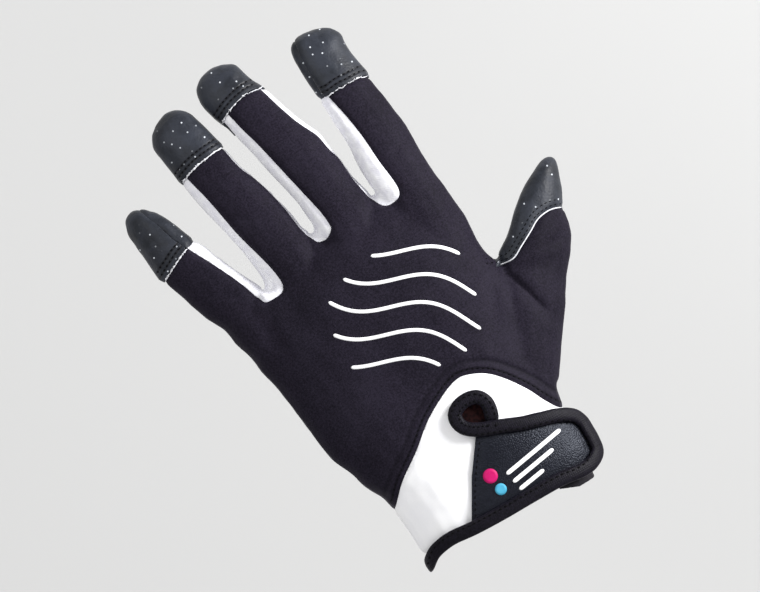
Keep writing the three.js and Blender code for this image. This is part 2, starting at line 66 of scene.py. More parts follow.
# The form that the panels are cut from
VOXEL = 0.85
SWELL = 0.3  # closes the gaps between the solids
SMOOTH_STEPS = 10
MOUTH = 6  # depth of the plug that closes the wrist
VENT_PLUG = 7.5  # radius of the plug that closes the vent
VENT_PLUG_LIFTS = (0.2, -2.0)
SKIN_SHARE = 0.6  # how much of the swelling is taken off again
SEAM_LEVEL = -3  # height of the seam between the back and the palm side, before the arch
ARCH_RADIUS = 225
ARCH_CENTRE = -10
CURL_RADIUS = 325
CURL_START = 120.3

# Fit of the form to the outline
FIT_START = 36  # the wrist below stays as it is
FIT_FADE = {"below": 4, "run": 10}
FIT_EVEN_STEPS = 12
FIT_REACH = 6.5
FIT_MOST = 4.5
RIM_LEAN = 0.25  # how far out of the level the normals of a side may point
WALL_START = 8.5  # height over the palm seam under which a side counts as a wall
WALL_EVEN_STEPS = 60

# Panels. Proud: how far a panel stands out. Roll: how far its edge turns in.
PANEL_THICKNESS = 1.1
SEAM_ROLL = 0.75
SEAM_SOFTNESS = 1.1
CAP_PROUD = 0.45
CAP_ROLL = 0.35
CUFF_PROUD = 0.15
CUFF_ROLL = 0.6
CUFF_EDGE = {"across": (8, 36), "up": (4.4, 9.0)}
PALM_EDGE = 7.5
PALM_CUFF_HEIGHT = 30

# Strap
STRAP_FLARE = 8.5
STRAP_LIFT = 1.5
STRAP_THICKNESS = 1.3
STRAP_SWELL = {"height": 0.7, "start": 1.5, "run": 3.0}  # start and run: inward from its edge
STRAP_INSET = 0.4  # how far the leather stays inside its outline

# Binding, from its tail at the left to its end at the vent
BAND_POWER = 0.8  # squareness of a band's section, where 1 is round
BINDING_WIDTH = 5.6
BINDING_THICKNESS = 2.5
BINDING_LIFT = 0.5
BINDING_FLARE = {"start": -36, "run": 25}  # where it leaves the wrist to follow the strap
BINDING_RISE = {"start": -22, "run": 12, "height": 0.9}
BINDING_END = {"points": 14, "drop": 1.9}  # its end dips under the start of the ring
PALM_BINDING = {
    "width": 5.2, "thickness": 3.4, "sunk": 0.65, "deep": 21.0, "below_edge": 1.3,
    "start": 0.03, "end": 0.91,  # shares of the half turn round the palm side
}

# Vent and hook tab
VENT_CENTRE = (5.8, 43.9)
# The vent's lining is a flat disc, made dark with painted shade that stands for the hollow of the vent
VENT_LINING_SHADE_RADII = (7.0, 5.2, 3.5, 1.8, 0.3)
VENT_LINING_SHADE_LIFT = 0.5
VENT_LINING_SHADE_THICKNESS = 0.3
HOOK_TAB_TUCK = 3.0  # how much further under the strap than the solid
HOOK_TAB_VOXEL = 0.4

# White raw edges of the fingertip leather
RAW_EDGE = {"radius": 0.3, "lift": 0.3, "pitch": 0.5, "jitter": 0.14, "thin": 0.6, "thick": 1.5}
RAW_EDGE_STEEPEST = 0.1  # least upward part of the cloth's direction that shows a raw edge
TUFTS = {"share": 0.16, "short": 0.7, "long": 1.8, "rise": 0.5}
TUFT_TAPER = (0.34, 0.3, 0.24, 0.18, 0.08)
THUMB_EDGE = {"beside": 0.3, "width": 0.5, "height": 0.22}

random.seed(7)

SKIN_NODES = [
    "back_panel", "index_cap", "middle_cap", "ring_cap", "little_cap",
    "gusset_index_middle", "gusset_middle_ring", "gusset_ring_little",
    "thumb_facing", "palm_panel", "palm_cuff", "cuff_panel",
]

# Wrist and cuff sections: height up the glove, left and right side, and height of the back
CUFF_SECTIONS = [
    {"up": -3.0, "left": -36.5, "right": 38.4, "back": 20.6},
    {"up": 0.0, "left": -36.5, "right": 38.4, "back": 20.6},
    {"up": 13.5, "left": -37.2, "right": 38.8, "back": 21.0},
    {"up": 30.0, "left": -39.9, "right": 38.8, "back": 20.2},
    {"up": 44.5, "left": -46.5, "right": 39.2, "back": 18.6},
    {"up": 61.0, "left": -52.3, "right": 44.7, "back": 17.0},
]
SECTION_POWER = 2.6

# Lines in the plan. Edge: where a cap's leather starts. Around: how its outline is closed.
# Raw: how far the white raw edge lies beside that line, on the wrist's side.
CAPS = {
    "index_cap": {
        "edge": [(35, 179.3), (31.7, 180.1), (29, 180.7), (23.5, 180.5), (20.1, 180.6),
                 (15.1, 179.9), (12.8, 180.2)],
        "raw": 0.1,
        "around": [(12.5, 183.6), (12.2, 189.2), (11.9, 196), (12.6, 203.1), (14, 215),
                   (38, 215), (38, 180)],
    },
    "middle_cap": {
        "edge": [(-4, 195.2), (-8.5, 195.8), (-12.9, 195.9), (-18.5, 194.5), (-22.4, 193),
                 (-25.5, 191.4), (-30, 189)],
        "raw": 0.25,
        "around": [(-40, 200), (-30, 220), (0, 220)],
    },
    "ring_cap": {
        "edge": [(-27, 182.6), (-31.7, 182.1), (-36.5, 181.5), (-43.3, 180.3), (-47.5, 179),
                 (-51.5, 177.4), (-56, 175)],
        "raw": 0.75,
        "around": [(-64, 190), (-54, 212), (-30, 212)],
    },
    "little_cap": {
        "edge": [(-62.6, 153.4), (-67, 151.4), (-72, 148.7), (-76.4, 146.2), (-82, 143)],
        "raw": 0.75,
        "around": [(-90, 160), (-84, 182), (-74, 182), (-71.7, 174.2), (-70.3, 170.8),
                   (-68.4, 167.1), (-65.6, 159)],
    },
}

# Palm leather that wraps round beside a cap and shows past its groove
WRAPS = [
    [(14, 215), (12.6, 203.1), (11.9, 196), (12.2, 189.2), (12.5, 183.6), (12.8, 180.2),
     (10.2, 180.0), (4, 180), (4, 215)],
    [(-74, 182), (-71.7, 174.2), (-70.3, 170.8), (-68.4, 167.1), (-65.6, 159), (-62.6, 153.4),
     (-60.2, 153.8), (-54, 157), (-60, 182)],
]

# White side walls: down one finger's seam, round the web and up the next finger's seam
GUSSETS = {
    "gusset_index_middle": [
        (12.0, 190), (12.6, 183.2), (13.9, 179.9), (16.3, 171.1), (18.5, 160.2), (19.8, 148.5),
        (21.3, 138.9), (21.3, 134), (19.2, 131.6), (15.2, 131.4), (12.1, 133.8), (9.7, 141.2),
        (8.9, 148.2), (8.3, 156.6), (5.7, 162.4), (4.1, 168.3), (-0.6, 177.2), (-4.1, 186.4),
        (-7.6, 198),
    ],
    "gusset_middle_ring": [
        (-25.6, 198), (-22.9, 188.3), (-21.6, 183.4), (-19.3, 176.4), (-16.2, 165.1),
        (-13.2, 153.7), (-10.0, 141.6), (-9.1, 135.6), (-9.4, 133.2), (-12.6, 130.9),
        (-15.5, 131.5), (-17.1, 133.9), (-18.4, 138.8), (-19.7, 148.7), (-22.2, 158.6),
        (-25.1, 166.5), (-27.8, 171.8), (-29.9, 180.6), (-31.5, 187),
    ],
    "gusset_ring_little": [
        (-52.5, 185), (-49.2, 174.5), (-46.8, 166.6), (-44.8, 158), (-42.6, 148), (-39, 136.9),
        (-36.9, 129.2), (-36.2, 123), (-38, 120.8), (-40.8, 120.2), (-44.8, 120.1),
        (-46.5, 122.8), (-49.6, 131), (-53.2, 138.3), (-57.1, 145.2), (-61.3, 152.3),
        (-64, 159),
    ],
}

THUMB_SEAM = [
    (38, 91.5), (42.9, 89.8), (48.5, 89.5), (53.4, 92.2), (59.8, 95.9), (64.4, 98.7),
    (70.2, 99.6), (75.2, 98.3), (80, 96.5),
]
THUMB_AROUND = [(95, 96), (95, 130), (60, 130), (34, 104)]

# The knit keeps to the left of this line in the web, the thumb's leather to its right
WEB_LINE = [(41.6, 90.5), (46.5, 106)]

CUFF_SEAM = [
    (-46, 22), (-41.5, 23.5), (-37.7, 26.2), (-30.7, 33.6), (-20.2, 41.7), (-10.4, 50.2),
    (-0.7, 56), (6.5, 58.8), (11.6, 58.3), (18, 55.4), (23.6, 50.2), (29.3, 42.7),
    (32.5, 37), (35.9, 31.7), (38.5, 29.5), (44, 28),
]
CUFF_AROUND = [(70, 28), (70, -30), (-70, -30), (-70, 20)]

# The glove's outline in the plan: thumb, index, middle, ring and little finger, ulnar side
OUTLINE = [
    (38.6, 30.3), (39.4, 34.3), (41.5, 38.9), (48.9, 50.4), (57, 62.4), (61.1, 69.1),
    (64.3, 74.5), (70.5, 82.7), (73.7, 88), (74.7, 91.5), (75.7, 98.4), (78.3, 104.1),
    (80.2, 110.2), (81.8, 115.5), (81.6, 117.8), (78.7, 118.9), (75.5, 118), (71.1, 115.5),
    (65.6, 112.6), (61, 108.9), (56.3, 104.3), (51.3, 99), (46.4, 95.5), (41.2, 92.5),
    (39.3, 100.6), (39.7, 113.6), (36.8, 137.3), (36.2, 144.6), (35.7, 156.8), (33.9, 168.4),
    (32, 177.3), (32.1, 180.8), (31, 184.5), (29.9, 190.8), (29.5, 196.8), (30.1, 199.5),
    (26.6, 203.6), (21.4, 205.5), (13.9, 206.4), (10.3, 203.9), (9.6, 200.7), (9.6, 195.9),
    (9.8, 188.7), (10.5, 181.7), (11.6, 171.4), (12.5, 159), (12.1, 147.3), (12.9, 138.5),
    (13.0, 136.8), (11.9, 137.0), (10.2, 140.6), (7.9, 147.6), (7.1, 155.9), (5.5, 162.2),
    (4.8, 168.3), (0.3, 177.3), (-3.2, 186.5), (-6.1, 194.2), (-9.2, 198.8), (-11.3, 203.9),
    (-12.2, 207.9), (-15.7, 209.8), (-20.7, 211.1), (-25.8, 209.8), (-29.2, 207.6),
    (-30.5, 204.4), (-30.6, 199.1), (-28.7, 192.8), (-26.2, 187.7), (-23.0, 177),
    (-19.4, 162.8), (-15.7, 149.8), (-14.3, 137.5), (-14.6, 135.2), (-16.2, 135.8),
    (-18.6, 139), (-20.6, 148.6), (-23.3, 158.4), (-26.3, 166.2), (-28.8, 171.5),
    (-30.8, 180.4), (-32.2, 184.5), (-33.8, 189.8), (-35.4, 195.1), (-37.6, 200.2),
    (-41.3, 203.1), (-45.3, 203.9), (-50.4, 201.7), (-54, 198.3), (-55.5, 193.8),
    (-54.4, 188.4), (-52.6, 178.6), (-52, 174.7), (-49.6, 164.2), (-48, 158), (-44.5, 145.6),
    (-43, 137.7), (-42, 132.8), (-41, 125.4), (-41.3, 123.2), (-42.6, 124.2), (-45.9, 130),
    (-50.3, 138), (-54.4, 146), (-56.4, 151.5), (-57.6, 152.5), (-60.4, 158.9),
    (-62.7, 164.5), (-66.4, 170.9), (-71.3, 175.7), (-76, 176), (-78.7, 174.3), (-80.2, 169),
    (-79.2, 161.8), (-78.3, 154.3), (-77.3, 146.2), (-76.3, 145.7), (-72.3, 135.6),
    (-68.1, 124.5), (-64.4, 118.2), (-63, 110.8), (-60, 103.4), (-59.4, 96.8), (-56.9, 88.1),
    (-55.1, 78.3), (-53.9, 70.6), (-52.7, 62.9), (-50.5, 52), (-46.2, 44.4), (-44.1, 35.8),
    (-39.9, 31.4), (-38.7, 29.4), (-38.4, 21.7), (-36, 2), (0, 2), (38, 8),
]

# Soft folds in the cloth: their lines in the plan, how deep and how wide they are
FOLDS = [
    {"line": [(42.7, 87.7), (46.3, 77.9), (48.2, 71.5), (51.1, 62.9)], "depth": 1.1, "width": 2.6},
    {"line": [(43.0, 87.1), (46.3, 79.5), (48.4, 74), (50.8, 66)], "depth": 1.0, "width": 0.8},
    {"line": [(41.0, 90.0), (34, 80), (28, 66)], "depth": 0.8, "width": 3.0},
    {"line": [(39.5, 94.0), (30, 90), (22, 86)], "depth": 0.6, "width": 2.6},
    {"line": [(44.0, 88.5), (52, 84), (60, 82)], "depth": 0.7, "width": 2.4},
    {"line": [(39.4, 100.6), (33, 100), (27, 102)], "depth": 0.5, "width": 2.2},
    {"line": [(-44.4, 119.5), (-48, 110), (-49, 98)], "depth": 0.6, "width": 3.2},
    {"line": [(-13.5, 131), (-13, 120), (-11, 108)], "depth": 0.5, "width": 4.0},
    {"line": [(16.5, 131), (15, 119), (12, 108)], "depth": 0.5, "width": 4.0},
    {"line": [(-40.5, 119.8), (-38, 108), (-33, 98)], "depth": 0.5, "width": 4.0},
    {"line": [(-58, 100), (-50, 96), (-42, 97)], "depth": 0.5, "width": 2.4},
    {"line": [(-56, 86), (-48, 84), (-40, 86)], "depth": 0.5, "width": 2.6},
    {"line": [(-52, 62), (-45, 62), (-37, 66)], "depth": 0.5, "width": 2.6},
    {"line": [(22, 150), (28, 149), (36, 152)], "depth": 0.45, "width": 1.8},
    {"line": [(-5, 163), (1, 164), (5, 167)], "depth": 0.4, "width": 1.8},
    {"line": [(-14, 160), (-7, 158.5), (2, 159)], "depth": 0.35, "width": 1.6},
    {"line": [(-43, 155), (-35, 152), (-24, 152)], "depth": 0.4, "width": 1.8},
    {"line": [(-62, 132), (-56, 129), (-50, 130)], "depth": 0.4, "width": 1.8},
    {"line": [(64, 88), (60, 82), (52, 76)], "depth": 0.5, "width": 2.2},
    {"line": [(74, 92), (68, 88), (60, 88)], "depth": 0.4, "width": 1.8},
]
FOLD_ENDS = {"share": 0.25, "run": 8}  # how much of its depth a fold has at its ends
CUFF_HEM = {"depth": 0.5, "width": 1.1, "distance": 5.0}
CLOTH_WAVES = [{"height": 0.32, "size": 13}, {"height": 0.13, "size": 4.5}]

# Round the vent, along the strap's side, and the middle line of the binding over both
VENT_ROUND = [
    (8.2, 36.2), (3.9, 38.0), (0.5, 40.5), (-1.0, 43.8), (-0.3, 47.2), (2.9, 49.4),
    (6.8, 49.9), (10.2, 48.9), (12.2, 46.0), (12.4, 42.6), (11.6, 39.4), (10.4, 36.8),
]
STRAP_SIDE = [
    (-2, 5.2), (11, 5.7), (24, 5.9), (31.5, 5.0), (36.8, 5.6), (40.6, 8.4), (41.4, 13.0),
    (41.3, 17.6), (40.9, 21.6), (38.7, 25.3), (33.6, 28.1), (27, 30.0), (21, 31.6),
]
BINDING_LINE = [
    (-36.8, -2.0), (-34.6, 1.0), (-31.6, 3.5), (-27.5, 4.9), (-22.5, 5.5), (-14, 5.1),
    *STRAP_SIDE, (15.5, 33.7), (12, 35.0), *VENT_ROUND,
]
STRAP_LEATHER = [
    (2.3, 35.9), (-6.2, 23.2), (-14.3, 8), (-15.2, 5.5),
    *STRAP_SIDE, (15.5, 33.9), (10.5, 36.9), (6, 37.6),
]
STRAP_END = [(2.0, 33.5), (-6.2, 21.4), (-12.6, 9.5)]

# Rows of stitches on the cloth, and on the binding and strap. Beside: to the left of the line.
CLOTH_STITCHES = [
    {"line": cap["edge"], "beside": beside, "pitch": 2.0, "length": 1.4, "radius": 0.22}
    for cap in CAPS.values() for beside in (-2.0, -4.0)
] + [
    {"line": CUFF_SEAM, "beside": 2.0, "pitch": 2.1, "length": 1.4, "radius": 0.22},
    {"line": THUMB_SEAM, "beside": 1.6, "pitch": 2.0, "length": 1.4, "radius": 0.2},
    {"line": THUMB_SEAM, "beside": 3.4, "pitch": 2.0, "length": 1.4, "radius": 0.2},
]
TAPE_STITCHES = [
    {"line": BINDING_LINE, "beside": 1.5, "pitch": 2.3, "length": 1.6, "radius": 0.34},
    {"line": VENT_ROUND, "beside": -1.4, "pitch": 1.7, "length": 1.2, "radius": 0.32},
    {"line": STRAP_END, "beside": 1.0, "pitch": 2.3, "length": 1.5, "radius": 0.26},
]
DROP_HEIGHT = 100  # height from which thread and prints are dropped on the glove
STITCH_STEEPEST = 0.12  # least upward part of the cloth's direction that takes a stitch
STITCH_TAPER = np.array([0.45, 0.9, 1.0, 0.9, 0.45])
STITCH_HUMP = {"rise": 0.45, "sink": 1.1}  # in radii of the thread

# Prints: a ripple of lines on the back of the hand, and bars and dots on the strap
RIPPLE = {
    "centre": (2.0, 92.0), "turn_degrees": -38, "wave": 4.2, "half_wave": 30, "phase": 0.6,
    "width": 1.5,
}
RIPPLE_LINES = [
    {"offset": -22, "reach": 17}, {"offset": -11, "reach": 26}, {"offset": 0, "reach": 30},
    {"offset": 11, "reach": 26}, {"offset": 22, "reach": 17},
]
BARS = [[(6.5, 17.5), (33, 22.8)], [(7.3, 13.6), (27, 17.5)], [(8.1, 9.9), (20, 12.2)]]
BAR_WIDTH = 1.7
PRINT_HEIGHT = 0.14
PRINT_PITCH = 0.6
PRINT_EVEN_STEPS = 3
DOT_RINGS = (1, 0.6, 0.2)
DOT_LIFT = 0.16
DOT_THICKNESS = 0.3


def smooth_line(points, steps=6):
    """A curve through the points, as an array of positions."""
    points = np.array(points, float)
    padded = np.vstack([2 * points[0] - points[1], points, 2 * points[-1] - points[-2]])
    share = np.arange(steps)[:, None] / steps
    rows = []
    for a, b, c, d in zip(padded, padded[1:], padded[2:], padded[3:]):
        rows.append(0.5 * (
            2 * b + (c - a) * share
            + (2 * a - 5 * b + 4 * c - d) * share ** 2
            + (3 * b - a - 3 * c + d) * share ** 3
        ))
    rows.append(points[-1:])
    return np.vstack(rows)


def evenly(line, pitch):
    """Points of the line at equal distances, and the direction of the line at each."""
    lengths = np.linalg.norm(np.diff(line, axis=0), axis=1)
    at = np.concatenate([[0], np.cumsum(lengths)])
    count = max(2, int(round(at[-1] / pitch)) + 1)
    wanted = np.linspace(0, at[-1], count)
    points = np.stack([np.interp(wanted, at, column) for column in line.T], axis=1)
    along = np.gradient(points, axis=0)
    return points, along / np.linalg.norm(along, axis=1, keepdims=True)


def line_distance(plan, line, reach=14):
    """Distance of plan points from a line, for the points within reach of it."""
    distance = np.full(len(plan), float(reach))
    near = np.all((plan > line.min(0) - reach) & (plan < line.max(0) + reach), axis=1)
    start, step = line[:-1], np.diff(line, axis=0)
    offset = plan[near][:, None, :] - start[None]
    share = np.clip((offset * step).sum(2) / np.maximum((step ** 2).sum(1), 1e-9), 0, 1)
    gap = offset - share[..., None] * step
    distance[near] = np.minimum(np.sqrt((gap ** 2).sum(2)).min(1), reach)
    return distance


def inside_distance(plan, outline, reach=14):
    """Distance of plan points from a closed outline, above zero inside it."""
    ring = np.vstack([outline, outline[:1]])
    distance = line_distance(plan, ring, reach)
    x, y = plan.T
    inside = np.zeros(len(plan), bool)
    for (x0, y0), (x1, y1) in zip(ring[:-1], ring[1:]):
        if y0 != y1:
            crossed = ((y0 > y) != (y1 > y)) & (x < (x1 - x0) * (y - y0) / (y1 - y0) + x0)
            inside ^= crossed
    return np.where(inside, distance, -distance)


def fall(x, y):
    """How far the arch of the hand and the curl of the fingers lower a point."""
    beyond = np.maximum(0, y - CURL_START)
    return (x - ARCH_CENTRE) ** 2 / (2 * ARCH_RADIUS) + beyond ** 2 / (2 * CURL_RADIUS)


def cuff_height(x, y, lift, flare=0.0):
    """Height of a layer that lies on the back of the wrist, lifted off it."""
    up = [row["up"] for row in CUFF_SECTIONS]
    left, right, back = (
        np.interp(y, up, [row[side] for row in CUFF_SECTIONS]) for side in ("left", "right", "back")
    )
    left, right, back = left - lift, right + lift + flare, back + lift
    share = np.clip(np.abs(2 * x - left - right) / (right - left), 0, 0.995)
    return back * (1 - share ** SECTION_POWER) ** (1 / SECTION_POWER) - fall(x, y)


def on_cuff(plan, lift, flare=0.0):
    """Plan points laid on the wrist, and the direction out of the cloth at each."""
    x, y = plan.T
    step = 0.2
    slopes = [
        (cuff_height(x + right, y + up, lift, flare) - cuff_height(x - right, y - up, lift, flare))
        / (2 * step) for right, up in ((step, 0), (0, step))
    ]
    out = np.stack([-slopes[0], -slopes[1], np.ones_like(x)], axis=1)
    height = cuff_height(x, y, lift, flare)
    return np.column_stack([plan, height]), out / np.linalg.norm(out, axis=1, keepdims=True)


def new_piece(name, points, faces, material, slot, nodes=()):
    """A piece from points in millimetres, which rides on the glove."""
    mesh = bpy.data.meshes.new(name)
    mesh.from_pydata((np.asarray(points) * MM).tolist(), [], [list(face) for face in faces])
    mesh.validate()
    piece = bpy.data.objects.new(name, mesh)
    bpy.context.scene.collection.objects.link(piece)
    piece.data.materials.append(material)
    for face in mesh.polygons:
        face.use_smooth = True
    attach(piece, "root")
    if nodes:
        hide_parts(*nodes)
    return piece


def apply_modifier(piece, kind, **settings):
    bpy.ops.object.select_all(action="DESELECT")
    bpy.context.view_layer.objects.active = piece
    modifier = piece.modifiers.new(kind.title(), kind)
    for key, value in settings.items():
        setattr(modifier, key, value)
    bpy.ops.object.modifier_apply(modifier=modifier.name)


def close_normals(piece):
    """Turns every face of a closed piece outwards."""
    work = bmesh.new()
    work.from_mesh(piece.data)
    bmesh.ops.recalc_face_normals(work, faces=work.faces)
    work.to_mesh(piece.data)
    work.free()


# The form


def plug(points):
    """A closed body over an opening, so that the hollow is cut off from outside."""
    work = bmesh.new()
    for point in points:
        work.verts.new(point)
    hull = bmesh.ops.convex_hull(work, input=work.verts)
    spare = [item for item in hull["geom_interior"] if isinstance(item, bmesh.types.BMVert)]
    bmesh.ops.delete(work, geom=spare, context="VERTS")
    mesh = bpy.data.meshes.new("plug")
    work.to_mesh(mesh)
    work.free()
    return mesh


def outer_skin(mesh):
    """Points, faces and normals of the part of the mesh that holds its highest tip."""
    work = bmesh.new()
    work.from_mesh(mesh)
    bmesh.ops.triangulate(work, faces=work.faces)
    first = max(work.verts, key=lambda vertex: vertex.co.y)
    found, edge = {first}, [first]
    while edge:
        vertex = edge.pop()
        for link in vertex.link_edges:
            other = link.other_vert(vertex)
            if other not in found:
                found.add(other)
                edge.append(other)
    bmesh.ops.delete(work, geom=[v for v in work.verts if v not in found], context="VERTS")
    bmesh.ops.recalc_face_normals(work, faces=work.faces)
    work.normal_update()
    work.verts.index_update()
    points = np.array([v.co for v in work.verts]) / MM
    normals = np.array([v.normal for v in work.verts])
    faces = np.array([[v.index for v in face.verts] for face in work.faces])
    work.free()
    return points, normals, faces


def worn_form():
    """The whole outside of the glove as one smooth skin."""
    work = bmesh.new()
    for name in SKIN_NODES:
        work.from_mesh(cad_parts[name].data)
    bmesh.ops.remove_doubles(work, verts=work.verts, dist=0.005 * MM)
    work.normal_update()
    for vertex in work.verts:
        vertex.co += vertex.normal * SWELL * MM
    turns = np.linspace(0, 2 * math.pi, 24, endpoint=False)
    ring = np.column_stack([np.cos(turns), np.sin(turns)]) * VENT_PLUG + VENT_CENTRE
    vent = np.vstack([on_cuff(ring, lift)[0] for lift in VENT_PLUG_LIFTS]) * MM
    work.from_mesh(plug([v.co.copy() for v in work.verts if v.co.y < MOUTH * MM]))
    work.from_mesh(plug(vent))
    mesh = bpy.data.meshes.new("form")
    work.to_mesh(mesh)
    work.free()
    form = bpy.data.objects.new("form", mesh)
    bpy.context.scene.collection.objects.link(form)
    apply_modifier(form, "REMESH", mode="VOXEL", voxel_size=VOXEL * MM)
    apply_modifier(form, "SMOOTH", factor=0.5, iterations=SMOOTH_STEPS)
    points, normals, faces = outer_skin(form.data)
    bpy.data.objects.remove(form)
    return points - normals * SWELL * SKIN_SHARE, normals, faces


def vertex_normals(points, faces):
    corners = points[faces]
    across = np.cross(corners[:, 1] - corners[:, 0], corners[:, 2] - corners[:, 0])
    normals = np.zeros_like(points)
    for column in faces.T:
        np.add.at(normals, column, across)
    return normals / np.maximum(np.linalg.norm(normals, axis=1, keepdims=True), 1e-9)


def spread(values, faces, steps):
    """Values at the points, evened out over their neighbours."""
    first = faces.ravel()
    second = np.roll(faces, -1, axis=1).ravel()
    count = np.bincount(first, minlength=len(values))
    columns = []
    for column in values.T:
        for _ in range(steps):
            total = np.bincount(first, column[second], len(column))
            column = (column + total / count) / 2
        columns.append(column)
    return np.stack(columns, axis=1)


def fitted(points, normals, faces):
    """The form with its sides moved to the outline, and less and less towards its middle."""
    rim = np.flatnonzero((np.abs(normals[:, 2]) < RIM_LEAN) & (points[:, 1] > FIT_START))
    way = normals[rim, :2] / np.linalg.norm(normals[rim, :2], axis=1, keepdims=True)
    gap = inside_distance(points[rim, :2], np.array(OUTLINE))
    moves = np.clip(gap, -FIT_MOST, FIT_MOST)[:, None] * way
    tree = KDTree(len(rim))
    for number, (x, y) in enumerate(points[rim, :2]):
        tree.insert((x, y, 0), number)
    tree.balance()
    shift = np.zeros((len(points), 2))
    for number, (x, y) in enumerate(points[:, :2]):
        if y > FIT_START - FIT_REACH:
            _, nearest, distance = tree.find((x, y, 0))
            shift[number] = moves[nearest] * math.exp(-(distance / FIT_REACH) ** 2)
    fade = (points[:, 1] - FIT_START + FIT_FADE["below"]) / FIT_FADE["run"]
    moved = points.copy()
    moved[:, :2] += spread(shift, faces, FIT_EVEN_STEPS) * np.clip(fade, 0, 1)[:, None]
    return moved


def fold_depths(points, normals):
    """How far the soft folds press each point of the form in."""
    plan = points[:, :2]
    facing = np.clip(normals[:, 2] * 2, 0, 1) * (points[:, 2] > SEAM_LEVEL - fall(*plan.T))
    depth = np.zeros(len(points))
    for fold in FOLDS:
        line = smooth_line(fold["line"])
        distance = line_distance(plan, line, 12)
        ends = np.minimum(
            np.linalg.norm(plan - line[0], axis=1), np.linalg.norm(plan - line[-1], axis=1)
        )
        fade = np.clip(FOLD_ENDS["share"] + ends / FOLD_ENDS["run"], 0, 1)
        depth += fold["depth"] * fade * np.exp(-(distance / fold["width"]) ** 2)
    hem = line_distance(plan, smooth_line(CUFF_SEAM), 12) - CUFF_HEM["distance"]
    above = inside_distance(plan, CUFF_OUTLINE, 12) < 0
    depth += above * CUFF_HEM["depth"] * np.exp(-(hem / CUFF_HEM["width"]) ** 2)
    return depth * facing


def slow_waves(points):
    """Uneven cloth: a soft rise and fall of the surface."""
    return np.array([
        sum(wave["height"] * noise.noise(Vector(point) / wave["size"]) for wave in CLOTH_WAVES)
        for point in points
    ])


CAP_OUTLINES = {
    name: np.vstack([smooth_line(cap["edge"]), cap["around"]]) for name, cap in CAPS.items()
}
WRAP_OUTLINES = [np.array(wrap, float) for wrap in WRAPS]
GUSSET_OUTLINES = {name: smooth_line(line) for name, line in GUSSETS.items()}
THUMB_OUTLINE = np.vstack([smooth_line(THUMB_SEAM), THUMB_AROUND])
CUFF_OUTLINE = np.vstack([smooth_line(CUFF_SEAM), CUFF_AROUND])


class Skin:
    """The form with the distances of its points from every seam."""

    def __init__(self, points, normals, faces):
        self.points = points
        self.normals = normals
        self.faces = faces
        plan = points[:, :2]
        self.above = points[:, 2] - SEAM_LEVEL + fall(*plan.T)
        even = spread(np.column_stack([normals[:, :2], self.above]), faces, WALL_EVEN_STEPS)
        drop = np.maximum(0, WALL_START - even[:, 2]) ** 2 / (2 * WALL_START)
        plan = plan + even[:, :2] * np.minimum(drop, WALL_START)[:, None]
        self.inside = {
            name: inside_distance(plan, outline)
            for name, outline in {
                **CAP_OUTLINES, **GUSSET_OUTLINES, "thumb": THUMB_OUTLINE, "cuff": CUFF_OUTLINE,
                "wrap_index": WRAP_OUTLINES[0], "wrap_little": WRAP_OUTLINES[1],
            }.items()
        }

        start, end = np.array(WEB_LINE)
        right = np.array([end[1] - start[1], start[0] - end[0]]) / np.linalg.norm(end - start)
        beside = (points[:, :2] - start) @ right
        self.inside["thumb"] = np.minimum(self.inside["thumb"], beside)

    def outside_all(self, names):
        return np.min([-self.inside[name] for name in names], axis=0)


def cut_sheet(points, normals, faces, field):
    """The part of a sheet where the field is above zero, cut along a clean line."""
    keep = field > 0
    count = keep[faces].sum(1)
    crossing = faces[(count == 1) | (count == 2)]
    single = count[(count == 1) | (count == 2)] == 1
    odd = np.argmax(keep[crossing] == single[:, None], axis=1)
    turned = np.take_along_axis(crossing, (odd[:, None] + np.arange(3)) % 3, axis=1)
    pairs = np.sort(np.concatenate([turned[:, [0, 1]], turned[:, [0, 2]]]), axis=1)
    edges, where = np.unique(pairs, axis=0, return_inverse=True)
    where = where.reshape(-1) + len(points)
    share = field[edges[:, 0]] / (field[edges[:, 0]] - field[edges[:, 1]])
    rows = np.column_stack([points, normals, field])
    cuts = rows[edges[:, 0]] + share[:, None] * (rows[edges[:, 1]] - rows[edges[:, 0]])
    rows = np.vstack([rows, cuts])
    first, second = where[:len(turned)], where[len(turned):]
    a, b, c = turned.T
    faces = np.vstack([
        faces[count == 3],
        np.column_stack([a, first, second])[single],
        np.column_stack([first, b, c])[~single],
        np.column_stack([first, c, second])[~single],
    ])
    used, faces = np.unique(faces, return_inverse=True)
    rows = rows[used]
    return rows[:, :3], rows[:, 3:6], rows[:, 6], faces.reshape(-1, 3)


def sewn_panel(skin, name, field, material, slot, proud=0.0, roll=SEAM_ROLL, mark=None):
    """A cloth panel whose edges turn in, with the distance from a marked line in the plan."""
    points, normals, distance, faces = cut_sheet(skin.points, skin.normals, skin.faces, field)
    turn = roll * np.exp(-(np.maximum(distance, 0) / SEAM_SOFTNESS) ** 2)
    points = points + normals * (proud - turn)[:, None]
    panel = new_piece(name + "_cloth", points, faces, material, slot, [name])
    if mark is not None:
        edge = panel.data.attributes.new("edge", "FLOAT", "POINT")
        edge.data.foreach_set("value", line_distance(points[:, :2], smooth_line(mark), 30))
    panel.data.materials.append(LINING)
    apply_modifier(
        panel, "SOLIDIFY", thickness=PANEL_THICKNESS * MM, offset=-1, material_offset=1
    )
    return panel


# Bands, thread and prints


